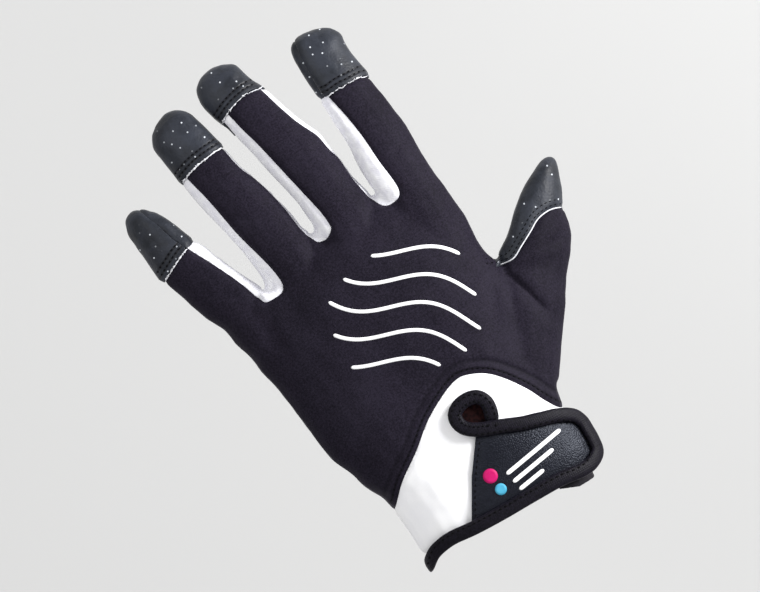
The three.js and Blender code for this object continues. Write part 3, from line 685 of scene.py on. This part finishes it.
def sweep(points, out, width, thickness, sides=14, base=0.0):
    """Points and faces of a rounded band that lies on a surface along a line."""
    along = np.gradient(points, axis=0)
    along /= np.linalg.norm(along, axis=1, keepdims=True)
    across = np.cross(along, out)
    across /= np.linalg.norm(across, axis=1, keepdims=True)
    width = np.broadcast_to(width, len(points))
    thickness = np.broadcast_to(thickness, len(points))
    rows = []
    for angle in (2 * math.pi * side / sides for side in range(sides)):
        sideways = math.copysign(abs(math.cos(angle)) ** BAND_POWER, math.cos(angle)) / 2
        upward = base + (1 + math.copysign(abs(math.sin(angle)) ** BAND_POWER, math.sin(angle))) / 2
        rows.append(
            points + across * (sideways * width)[:, None] + out * (upward * thickness)[:, None]
        )
    body = np.stack(rows, axis=1).reshape(-1, 3)
    last = (len(points) - 1) * sides
    faces = tube_faces(len(points), sides)
    faces.append(tuple(range(sides))[::-1])
    faces.append(tuple(range(last, last + sides)))
    return body, faces


def tube_faces(rings, sides):
    """The faces between rings of points, each ring joined to the one after it."""
    return [
        (
            ring * sides + side, ring * sides + (side + 1) % sides,
            (ring + 1) * sides + (side + 1) % sides, (ring + 1) * sides + side,
        )
        for ring in range(rings - 1) for side in range(sides)
    ]


def disc(centre, radii, sides):
    """Plan points on rings from the outermost to the innermost, and the faces between them."""
    turns = np.linspace(0, 2 * math.pi, sides, endpoint=False)
    ring = np.column_stack([np.cos(turns), np.sin(turns)])
    faces = tube_faces(len(radii), sides)
    faces.append(tuple(range((len(radii) - 1) * sides, len(radii) * sides)))
    return np.vstack([ring * radius + centre for radius in radii]), faces


def gather(parts):
    """Several bodies as one list of points and one of faces."""
    points, faces, start = [], [], 0
    for body, its_faces in parts:
        points.append(body)
        faces += [tuple(index + start for index in face) for face in its_faces]
        start += len(body)
    return np.vstack(points), faces


def stitch(centre, along, out, length, radius):
    """One stitch, humped, with both ends drawn down into the cloth."""
    share = np.linspace(-1, 1, len(STITCH_TAPER))
    points = (
        centre + along * (share * length / 2)[:, None]
        + out * (radius * (STITCH_HUMP["rise"] - STITCH_HUMP["sink"] * share ** 2))[:, None]
    )
    size = 2 * radius * STITCH_TAPER
    return sweep(points, np.broadcast_to(out, points.shape), size, size, 6, base=-0.5)


def ease_ends(count, steps=5):
    """Shares from nearly nothing up to 1 and back, for rounded ends of a band."""
    position = np.minimum(np.arange(count), np.arange(count)[::-1])
    return np.sqrt(1 - (1 - np.clip((position + 0.15) / steps, 0, 1)) ** 2)


class Ground:
    """A surface of the glove that thread and prints are laid on."""

    def __init__(self, pieces):
        work = bmesh.new()
        for piece in pieces:
            work.from_mesh(piece.data)
        self.tree = BVHTree.FromBMesh(work)
        work.free()

    def lay(self, plan):
        """Plan points dropped on the surface, and the direction out of it at each."""
        places, outs = [], []
        for x, y in plan:
            start = Vector((x * MM, y * MM, DROP_HEIGHT * MM))
            place, out, _, _ = self.tree.ray_cast(start, Vector((0, 0, -1)))
            if place is not None:
                places.append(place)
                outs.append(out)
        return np.array(places) / MM, np.array(outs)


def shifted(line, distance):
    """The line moved sideways, to the left of its direction."""
    along = np.gradient(line, axis=0)
    along /= np.linalg.norm(along, axis=1, keepdims=True)
    return line + np.column_stack([-along[:, 1], along[:, 0]]) * distance


def stitch_rows(ground, table):
    """The rows of stitches in the table, laid on the ground."""
    parts = []
    for row in table:
        middles, _ = evenly(shifted(smooth_line(row["line"]), row["beside"]), row["pitch"])
        places, outs = ground.lay(middles)
        for place, way, out in zip(places, np.gradient(places, axis=0), outs):
            way = way - out * np.dot(way, out)
            length = np.linalg.norm(way)
            if out[2] > STITCH_STEEPEST and length < 3 * row["pitch"]:
                parts.append(stitch(place, way / length, out, row["length"], row["radius"]))
    return parts


def print_strip(ground, line, width, height=PRINT_HEIGHT):
    """A flat printed line with rounded ends, laid on the cloth."""
    middles, _ = evenly(line, PRINT_PITCH)
    places, outs = ground.lay(middles)
    for _ in range(PRINT_EVEN_STEPS):
        outs[1:-1] = (outs[:-2] + outs[1:-1] * 2 + outs[2:]) / 4
        places[1:-1] = (places[:-2] + places[1:-1] * 2 + places[2:]) / 4
    outs /= np.linalg.norm(outs, axis=1, keepdims=True)
    share = ease_ends(len(places), max(2, int(width / 1.2)))
    return sweep(places - outs * height * 0.5, outs, width * share, height * 2, 10)


def trim(name, parts, material, slot, nodes=()):
    """Bands, stitches or prints joined to one piece."""
    piece = new_piece(name, *gather(parts), material, slot, nodes)
    close_normals(piece)
    return piece


# Finishes

SPECK_PITCH = 5.6
SPECK_RADIUS = 0.33


class Field:
    """A number in a material that Python sums turn into Math nodes."""

    def __init__(self, tree, socket):
        self.tree = tree
        self.socket = socket

    def math(self, operation, *others):
        node = self.tree.nodes.new("ShaderNodeMath")
        node.operation = operation
        for entry, value in zip(node.inputs, (self, *others)):
            if isinstance(value, Field):
                self.tree.links.new(value.socket, entry)
            else:
                entry.default_value = value
        return Field(self.tree, node.outputs[0])

    def __add__(self, other):
        return self.math("ADD", other)

    def __sub__(self, other):
        return self.math("SUBTRACT", other)

    def __rsub__(self, other):
        return self.math("MULTIPLY", -1.0) + other

    def __mul__(self, other):
        return self.math("MULTIPLY", other)

    __radd__ = __add__
    __rmul__ = __mul__

    def wave(self, pitch):
        """A sine wave that repeats after that pitch."""
        return (self * (2 * math.pi / pitch)).math("SINE")

    def step(self, start, end):
        """0 before start and 1 after end, with a soft step between."""
        node = self.tree.nodes.new("ShaderNodeMapRange")
        node.interpolation_type = "SMOOTHSTEP"
        self.tree.links.new(self.socket, node.inputs["Value"])
        node.inputs["From Min"].default_value = start
        node.inputs["From Max"].default_value = end
        return Field(self.tree, node.outputs[0])


def socket_name(key):
    """The shader's own name of a setting, such as Base Color for base_color."""
    return key.replace("_", " ").title().replace("Ior", "IOR")


class Finish:
    """A material whose patterns are measured in millimetres on the glove."""

    def __init__(self, name, roughness, **uniform):
        self.material = bpy.data.materials.new(name)
        self.material.use_nodes = True
        self.tree = self.material.node_tree
        self.shader = self.tree.nodes["Principled BSDF"]
        self.shader.inputs["Roughness"].default_value = roughness
        for key, value in uniform.items():
            self.shader.inputs[socket_name(key)].default_value = value
        place = self.node("ShaderNodeTexCoord", output="Object")
        self.place = self.node(
            "ShaderNodeVectorMath", {"operation": "SCALE"}, {0: place, "Scale": 1 / MM}
        )
        self.x, self.y = (
            self.node("ShaderNodeSeparateXYZ", sockets={0: self.place}, output=axis) for axis in "XY"
        )

    def node(self, kind, settings=None, sockets=None, output=0):
        node = self.tree.nodes.new(kind)
        for key, value in (settings or {}).items():
            setattr(node, key, value)
        for key, value in (sockets or {}).items():
            if isinstance(value, Field):
                self.tree.links.new(value.socket, node.inputs[key])
            else:
                node.inputs[key].default_value = value
        return Field(self.tree, node.outputs[output])

    def noise(self, size, detail=2.0, roughness=0.5):
        """Cloudy noise of about that size, from 0 to 1."""
        return self.node("ShaderNodeTexNoise", None, {
            "Vector": self.place, "Scale": 1 / size, "Detail": detail, "Roughness": roughness,
        })

    def cells(self, size, feature="F1", **settings):
        """Distance in cells of that size: from each one's middle, or from its edge."""
        return self.node("ShaderNodeTexVoronoi", {"feature": feature, **settings}, {
            "Vector": self.place, "Scale": 1 / size,
        }, output="Distance")

    def blend(self, share, first, second):
        """A colour from first to second."""
        node = self.tree.nodes.new("ShaderNodeMix")
        node.data_type = "RGBA"
        self.tree.links.new(share.socket, node.inputs["Factor"])
        for entry, value in ((node.inputs[6], first), (node.inputs[7], second)):
            if isinstance(value, Field):
                self.tree.links.new(value.socket, entry)
            else:
                entry.default_value = (*value, 1)
        return Field(self.tree, node.outputs[2])

    def ridge(self, value, middle, width):
        """1 where the value is at the middle, falling to 0 on both sides."""
        away = (value - middle).math("ABSOLUTE")
        return 1 - away.step(0, width)

    def edge(self):
        """Distance in millimetres from the line that the piece is marked with."""
        return self.node("ShaderNodeAttribute", {"attribute_name": "edge"}, output="Fac")

    def set(self, **fields):
        for key, value in fields.items():
            self.tree.links.new(value.socket, self.shader.inputs[socket_name(key)])

    def relief(self, height, strength=1.0):
        """Bumps whose height is given in millimetres."""
        bump = self.node("ShaderNodeBump", None, {
            "Height": height, "Distance": MM, "Strength": strength,
        }, output="Normal")
        self.set(normal=bump)


def knit_finish():
    """Black stretch knit with fine wales and a faint violet bloom."""
    knit = Finish(
        "stretch_knit", 0.75, sheen_weight=0.05, sheen_roughness=0.35,
        sheen_tint=(0.66, 0.58, 0.78, 1), specular_ior_level=0.05,
    )
    wale = knit.x.wave(0.75) * knit.y.wave(0.6)
    fuzz = knit.noise(0.75, 3, 0.7)
    cloud = knit.noise(26, 3)
    hem = knit.edge()
    # Shade: painted shade in the two grooves of the hem, 2.0 and 5.2 mm from the cuff seam, where the
    # relief also sinks
    shade = knit.ridge(hem, 2.0, 0.9) * 0.6 + knit.ridge(hem, 5.2, 1.3) * 0.35
    bloom = (cloud * 0.3 + fuzz * 0.7).step(0.34, 0.68)
    colour = knit.blend(bloom, (0.007, 0.0058, 0.0102), (0.0205, 0.017, 0.0285))
    colour = knit.blend(shade, colour, (0.002, 0.002, 0.003))
    knit.set(base_color=colour, roughness=fuzz * 0.25 + 0.45)
    knit.relief(wale * 0.05 + fuzz * 0.2 - shade * 0.35, 0.6)
    return knit.material


def facing_finish(name, stitched=False):
    """Dark leather with a fine grain, scuffs and small white dots, and, if stitched, two grooves with
    painted shade in them.
    """
    leather = Finish(name, 0.5, specular_ior_level=0.28, sheen_weight=0.05)
    grain = leather.cells(0.9, "SMOOTH_F1")
    scuff = leather.noise(5, 4, 0.65)
    cloud = leather.noise(17, 2)
    dots = leather.cells(SPECK_PITCH, voronoi_dimensions="2D")
    upward = leather.node("ShaderNodeSeparateXYZ", sockets={
        0: leather.node("ShaderNodeNewGeometry", output="Normal"),
    }, output="Z")
    flat = upward.math("ABSOLUTE").step(0.2, 0.4)
    share = SPECK_RADIUS / SPECK_PITCH
    speck = (1 - dots.step(share * 0.7, share * 1.25)) * flat
    tone = (scuff * 0.55 + cloud * 0.45).step(0.34, 0.66)
    colour = leather.blend(tone, (0.007, 0.0088, 0.0138), (0.0225, 0.0262, 0.0378))
    colour = leather.blend(speck * leather.noise(9, 1).step(0.3, 0.62), colour, (0.6, 0.63, 0.68))
    height = grain * 0.16 + scuff * 0.2 + speck * 0.08
    if stitched:
        edge = leather.edge()
        # Painted shade: the leather turns nearly black along the two stitched grooves, which the relief
        # also sinks
        grooves_and_painted_shade = leather.ridge(edge, 1.9, 0.75) + leather.ridge(edge, 3.9, 0.75)
        colour = leather.blend(grooves_and_painted_shade * 0.85, colour, (0.006, 0.006, 0.009))
        height = height - grooves_and_painted_shade * 0.5
    leather.set(base_color=colour, roughness=scuff * 0.3 + 0.38)
    leather.relief(height, 0.6)
    return leather.material


def side_finish():
    """White stretch cloth with painted lilac shade in the hollows of its pleats."""
    side = Finish("white_stretch", 0.75, sheen_weight=0.15, sheen_roughness=0.5)
    rib = (side.y + side.x * (1 / 3)).wave(0.8)
    pleats_and_painted_shade = side.noise(3.2, 3)
    # Painted shade: the cloth turns darker and lilac where the pleats sink
    colour = side.blend(pleats_and_painted_shade.step(0.3, 0.7), (0.78, 0.775, 0.84), (0.89, 0.89, 0.92))
    side.set(base_color=colour)
    side.relief(rib * 0.03 + pleats_and_painted_shade * 0.7, 0.5)
    return side.material


def cuff_finish():
    """Smooth white foam-backed cloth."""
    cuff = Finish("white_cuff", 0.6, sheen_weight=0.1, sheen_roughness=0.4)
    tone = cuff.noise(14, 3)
    weave = cuff.x.wave(0.7) * cuff.y.wave(0.7)
    colour = cuff.blend(tone.step(0.25, 0.75), (0.9, 0.9, 0.93), (0.95, 0.95, 0.96))
    cuff.set(base_color=colour)
    cuff.relief(weave * 0.02 + tone * 0.5, 0.4)
    return cuff.material


def strap_finish():
    """Black pebbled leather, with painted shade in the hollows between the pebbles."""
    strap = Finish("strap_leather", 0.36, specular_ior_level=0.23, specular_tint=(0.8, 0.86, 1, 1))
    pebbles_and_painted_shade = strap.cells(0.62)
    cloud = strap.noise(9, 3)
    # Painted shade: each pebble turns darker towards its edge, where the relief sinks
    colour = strap.blend(pebbles_and_painted_shade.step(0.1, 0.7), (0.0075, 0.008, 0.0135), (0.003, 0.0032, 0.006))
    strap.set(base_color=colour, roughness=cloud * 0.3 + 0.26)
    strap.relief(pebbles_and_painted_shade * -0.22 + cloud * 0.3, 0.6)
    return strap.material


def binding_finish():
    """Black tape with a close weave."""
    tape = Finish(
        "binding_tape", 0.5, sheen_weight=0.03, sheen_roughness=0.4,
        sheen_tint=(0.7, 0.62, 0.9, 1), specular_ior_level=0.1,
    )
    weave = tape.x.wave(0.8) + tape.y.wave(0.8)
    fuzz = tape.noise(0.7, 3)
    colour = tape.blend(fuzz.step(0.3, 0.7), (0.0022, 0.0019, 0.0038), (0.0072, 0.006, 0.0112))
    tape.set(base_color=colour)
    tape.relief(weave * 0.03 + fuzz * 0.2, 0.6)
    return tape.material


def plain_finish(name, dark, light, roughness, size=0.8, shine=0.5):
    """Thread, print, lining or hook tape: one colour with a fine unevenness."""
    finish = Finish(name, roughness, specular_ior_level=shine)
    grain = finish.noise(size, 3)
    finish.set(base_color=finish.blend(grain.step(0.3, 0.7), dark, light))
    finish.relief(grain * 0.1, 0.5)
    return finish.material


KNIT = knit_finish()
FACING = facing_finish("speckled_leather")
CAP_LEATHER = facing_finish("stitched_leather", stitched=True)
SIDE = side_finish()
CUFF = cuff_finish()
STRAP = strap_finish()
BINDING = binding_finish()
THREAD = plain_finish("dark_thread", (0.0015, 0.0015, 0.002), (0.004, 0.0036, 0.005), 0.6, shine=0.06)
FRAYED = plain_finish("white_raw_edge", (0.55, 0.56, 0.6), (0.85, 0.85, 0.88), 0.8)
PRINT = plain_finish("white_print", (0.8, 0.8, 0.81), (0.9, 0.9, 0.91), 0.55, 2.5)
MAGENTA = plain_finish("magenta_print", (0.44, 0.003, 0.1), (0.5, 0.005, 0.125), 0.5, 2.5, 0.2)
CYAN = plain_finish("cyan_print", (0.05, 0.3, 0.46), (0.07, 0.36, 0.53), 0.5, 2.5, 0.2)
LINING = plain_finish("soft_lining", (0.004, 0.0035, 0.005), (0.012, 0.011, 0.015), 0.8, 0.9, 0.12)
# Painted shade: the vent's lining is made dark to stand for the shade inside the vent
VENT_LINING_SHADE = plain_finish("vent_lining_shade", (0.004, 0.0015, 0.002), (0.016, 0.005, 0.005), 0.8, 1.2, 0.05)
HOOK_TAPE = plain_finish("hook_tape", (0.004, 0.0035, 0.005), (0.014, 0.012, 0.017), 0.75, 0.5, 0.15)

# The camera looks straight down on the back of the hand

camera_data = bpy.data.cameras.new("camera")
camera_data.lens = LENS
camera_data.sensor_width = SENSOR
camera_data.clip_end = 20
camera = bpy.data.objects.new("camera", camera_data)
bpy.context.scene.collection.objects.link(camera)
camera.location = (
    VIEW_CENTRE[0] * MM, VIEW_CENTRE[1] * MM, (VIEW_LEVEL + VIEW_WIDTH * LENS / SENSOR) * MM
)
camera.rotation_euler = (0, 0, math.radians(VIEW_TURN_DEGREES))
bpy.context.scene.camera = camera

# Panels

skin_points, skin_normals, skin_faces = worn_form()
skin_points = fitted(skin_points, skin_normals, skin_faces)
skin_normals = vertex_normals(skin_points, skin_faces)
press = fold_depths(skin_points, skin_normals) - slow_waves(skin_points)
skin = Skin(skin_points - skin_normals * press[:, None], skin_normals, skin_faces)

on_top = skin.above
edge_above = skin.points[:, 1] - np.interp(
    skin.points[:, 0], CUFF_EDGE["across"], CUFF_EDGE["up"]
)
palm_above = skin.points[:, 1] - PALM_EDGE
wrap_inside = np.maximum(skin.inside["wrap_index"], skin.inside["wrap_little"])

back = sewn_panel(skin, "back_panel", np.minimum.reduce([
    on_top, skin.outside_all([*CAPS, *GUSSETS, "thumb", "cuff"]), -wrap_inside, palm_above,
]), KNIT, "knit", mark=CUFF_SEAM)

caps = [
    sewn_panel(
        skin, name, np.minimum(on_top, skin.inside[name]), CAP_LEATHER, "leather",
        CAP_PROUD, CAP_ROLL, cap["edge"],
    )
    for name, cap in CAPS.items()
]

gussets = [
    sewn_panel(skin, name, np.minimum.reduce([
        on_top, skin.inside[name], skin.outside_all(CAPS), -wrap_inside,
    ]), SIDE, "side")
    for name in GUSSETS
]

thumb_facing = sewn_panel(
    skin, "thumb_facing", np.minimum(on_top, skin.inside["thumb"]), FACING, "leather"
)

cuff_panel = sewn_panel(
    skin, "cuff_panel", np.minimum.reduce([on_top, skin.inside["cuff"], edge_above]), CUFF, "cuff",
    CUFF_PROUD, CUFF_ROLL,
)

palm_field = np.maximum(-on_top, wrap_inside)
sewn_panel(
    skin, "palm_panel", np.minimum(palm_field, skin.points[:, 1] - PALM_CUFF_HEIGHT),
    FACING, "leather",
)
sewn_panel(skin, "palm_cuff", np.minimum.reduce([
    -on_top, PALM_CUFF_HEIGHT - skin.points[:, 1], palm_above,
]), CUFF, "cuff")

# Strap, binding, vent lining with painted shade, and hook tab


def strap_piece():
    """Pebbled leather that swells between the binding on its edges."""
    outline = np.array(STRAP_LEATHER, float)
    low, high = outline.min(0), outline.max(0)
    step = 0.5
    columns = np.arange(low[0] - 1, high[0] + 1, step)
    rows = np.arange(low[1] - 1, high[1] + 1, step)
    grid = np.stack(np.meshgrid(columns, rows), axis=-1).reshape(-1, 2)
    inside = inside_distance(grid, outline)
    inward = np.maximum(inside - STRAP_SWELL["start"], 0)
    swell = STRAP_SWELL["height"] * (1 - np.exp(-inward / STRAP_SWELL["run"]))
    points, out = on_cuff(grid, STRAP_LIFT, STRAP_FLARE)
    points = points + out * swell[:, None]
    index = np.arange(len(grid)).reshape(len(rows), len(columns))
    a, b = index[:-1, :-1].ravel(), index[:-1, 1:].ravel()
    c, d = index[1:, 1:].ravel(), index[1:, :-1].ravel()
    faces = np.vstack([np.column_stack([a, b, c]), np.column_stack([a, c, d])])
    places, _, _, cut_faces = cut_sheet(points, out, faces, inside - STRAP_INSET)
    piece = new_piece("strap_leather", places, cut_faces, STRAP, "strap", ["strap"])
    apply_modifier(piece, "SOLIDIFY", thickness=STRAP_THICKNESS * MM, offset=-1)
    return piece


def binding_piece():
    """Tape that lies on the wrist at its tail, follows the flared strap and rings the vent."""
    line, _ = evenly(smooth_line(BINDING_LINE), 0.7)
    points, out = on_cuff(line, BINDING_LIFT, STRAP_FLARE)
    share = np.clip((points[:, 0] - BINDING_FLARE["start"]) / BINDING_FLARE["run"], 0, 1)[:, None]
    plain_points, plain_out = on_cuff(line, BINDING_LIFT)
    points = plain_points + (points - plain_points) * share
    out = plain_out + (out - plain_out) * share
    out /= np.linalg.norm(out, axis=1, keepdims=True)
    rise = np.clip((line[:, 0] - BINDING_RISE["start"]) / BINDING_RISE["run"], 0, 1)
    rise *= BINDING_RISE["height"]
    rise[-BINDING_END["points"]:] -= np.linspace(0, BINDING_END["drop"], BINDING_END["points"])
    points = points + out * rise[:, None]
    ends = ease_ends(len(line))
    band = sweep(points, out, BINDING_WIDTH * ends, BINDING_THICKNESS * ends)
    return trim("binding_tape", [band], BINDING, "binding", ["cuff_binding"])


def palm_binding_piece():
    """Tape along the lower edge of the palm side, from one end of the other tape to the next."""
    wrist = CUFF_SECTIONS[0]
    turns = np.linspace(PALM_BINDING["start"] * math.pi, PALM_BINDING["end"] * math.pi, 130)
    shape = 2 / SECTION_POWER
    middle = (wrist["left"] + wrist["right"]) / 2
    sideways = np.sign(np.cos(turns)) * np.abs(np.cos(turns)) ** shape
    x = middle + (wrist["right"] - wrist["left"]) / 2 * sideways
    y = np.full_like(x, PALM_EDGE - PALM_BINDING["below_edge"])
    z = -PALM_BINDING["deep"] * np.abs(np.sin(turns)) ** shape - fall(x, y)
    line = np.column_stack([x, y, z])
    along = np.gradient(line, axis=0)
    along /= np.linalg.norm(along, axis=1, keepdims=True)
    out = np.cross(along, np.array([0.0, 1.0, 0.0]))
    out *= np.sign((out * (line - line.mean(0))).sum(1).mean())
    ends = ease_ends(len(line))
    band = sweep(
        line, out, PALM_BINDING["width"] * ends, PALM_BINDING["thickness"] * ends,
        base=-PALM_BINDING["sunk"],
    )
    trim("palm_binding_tape", [band], BINDING, "binding", ["palm_binding"])


def vent_lining_shade_piece():
    """Dark lining that shows in the vent and ends under its ring; its dark colour is painted shade for
    the hollow of the vent.
    """
    plan, faces = disc(VENT_CENTRE, VENT_LINING_SHADE_RADII, 40)
    places, _ = on_cuff(plan, VENT_LINING_SHADE_LIFT)
    piece = new_piece("vent_lining_shade", places, faces, VENT_LINING_SHADE, "binding")
    apply_modifier(piece, "SOLIDIFY", thickness=VENT_LINING_SHADE_THICKNESS * MM, offset=1)


def hook_tab_piece():
    """The solid tab, tucked further under the strap and rounded."""
    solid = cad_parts["fastener_tab"].data
    piece = new_piece(
        "hook_tab", np.array([v.co for v in solid.vertices]) / MM - (HOOK_TAB_TUCK, 0, 0),
        [tuple(face.vertices) for face in solid.polygons], HOOK_TAPE, "binding", ["fastener_tab"],
    )
    apply_modifier(piece, "REMESH", mode="VOXEL", voxel_size=HOOK_TAB_VOXEL * MM)
    apply_modifier(piece, "SMOOTH", factor=0.5, iterations=3)
    for face in piece.data.polygons:
        face.use_smooth = True


strap = strap_piece()
binding = binding_piece()
vent_lining_shade_piece()
palm_binding_piece()
hook_tab_piece()

# Stitches

cloth = Ground([back, *caps, *gussets, thumb_facing, cuff_panel])
tape = Ground([binding, strap])
rows = stitch_rows(cloth, CLOTH_STITCHES) + stitch_rows(tape, TAPE_STITCHES)
trim("stitches", rows, THREAD, "binding")

# Prints


def ripple_line(offset, reach):
    """One wavy line of the ripple, turned and moved to its place."""
    share = np.linspace(-1, 1, 40)
    along = share * reach
    wave = np.sin(share * reach / RIPPLE["half_wave"] * math.pi + RIPPLE["phase"])
    across = offset + RIPPLE["wave"] * wave
    turn = math.radians(RIPPLE["turn_degrees"])
    right, up = RIPPLE["centre"]
    return np.column_stack([
        right + along * math.cos(turn) - across * math.sin(turn),
        up + along * math.sin(turn) + across * math.cos(turn),
    ])


def dot(name, centre, radius, colour):
    """A flat round print on the strap."""
    plan, faces = disc(centre, [radius * share for share in DOT_RINGS], 28)
    places, outs = tape.lay(plan)
    piece = new_piece(name, places + outs * DOT_LIFT, faces, colour, "side")
    apply_modifier(piece, "SOLIDIFY", thickness=DOT_THICKNESS * MM, offset=-1)


trim("ripple_print", [
    print_strip(cloth, ripple_line(**row), RIPPLE["width"]) for row in RIPPLE_LINES
], PRINT, "side")
trim("bar_print", [
    print_strip(tape, np.array(bar), BAR_WIDTH) for bar in BARS
], PRINT, "side")
dot("magenta_dot", (0.6, 19.8), 2.9, MAGENTA)
dot("cyan_dot", (1.8, 13.4), 2.3, CYAN)

# White raw edges of the fingertip leather


def tuft(place, out):
    """One loose end of fibre that stands out of a raw edge."""
    way = np.array([random.uniform(-1, 1), random.uniform(-1, 0.4), 0.2])
    reach = random.uniform(TUFTS["short"], TUFTS["long"])
    share = np.linspace(0, 1, len(TUFT_TAPER))[:, None]
    points = place + way * reach * share + out * (TUFTS["rise"] * np.sin(share * 2.6))
    return sweep(points, np.broadcast_to(out, points.shape), TUFT_TAPER, TUFT_TAPER, 5)


def raw_edge(line):
    """A frayed white edge with a few loose tufts."""
    middles, _ = evenly(line, RAW_EDGE["pitch"])
    places, outs = cloth.lay(middles)
    wanted = outs[:, 2] > RAW_EDGE_STEEPEST
    places, outs = places[wanted] + outs[wanted] * RAW_EDGE["lift"], outs[wanted]
    most = RAW_EDGE["jitter"]
    jitter = np.array([[random.uniform(-most, most) for _ in range(3)] for _ in places])
    size = np.array([
        RAW_EDGE["radius"] * random.uniform(RAW_EDGE["thin"], RAW_EDGE["thick"]) for _ in places
    ]) * ease_ends(len(places), 3)
    parts = [sweep(places + jitter, outs, 2 * size, 1.4 * size, 7)]
    for place, out in zip(places, outs):
        if random.random() < TUFTS["share"]:
            parts.append(tuft(place, out))
    return parts


frays = []
for cap in CAPS.values():
    frays += raw_edge(shifted(smooth_line(cap["edge"]), cap["raw"]))
thumb_line = shifted(smooth_line(THUMB_SEAM[1:-1]), THUMB_EDGE["beside"])
frays.append(print_strip(cloth, thumb_line, THUMB_EDGE["width"], THUMB_EDGE["height"]))
trim("raw_edges", frays, FRAYED, "side")

# Floor, light and surroundings

bpy.ops.mesh.primitive_plane_add(size=FLOOR["size"], location=(0, 0.1, FLOOR["level"]))
floor = bpy.context.object
floor.name = "floor"
paper = bpy.data.materials.new("floor_paper")
paper.use_nodes = True
paper_shader = paper.node_tree.nodes["Principled BSDF"]
paper_shader.inputs["Base Color"].default_value = FLOOR["colour"]
paper_shader.inputs["Roughness"].default_value = FLOOR["roughness"]
floor.data.materials.append(paper)

for light in LIGHTS:
    data = bpy.data.lights.new(light["name"], "AREA")
    data.size = light["size"]
    data.energy = light["power"]
    lamp = bpy.data.objects.new(light["name"], data)
    bpy.context.scene.collection.objects.link(lamp)
    lamp.location = light["place"]
    aim = Vector(LIGHT_AIM) - lamp.location
    lamp.rotation_euler = aim.to_track_quat("-Z", "Y").to_euler()

world = bpy.data.worlds.new("studio")
bpy.context.scene.world = world
world.use_nodes = True
world.node_tree.nodes["Background"].inputs["Color"].default_value = (1, 1, 1, 1)
world.node_tree.nodes["Background"].inputs["Strength"].default_value = SKY_STRENGTH
bpy.context.scene.view_settings.view_transform = "Standard"
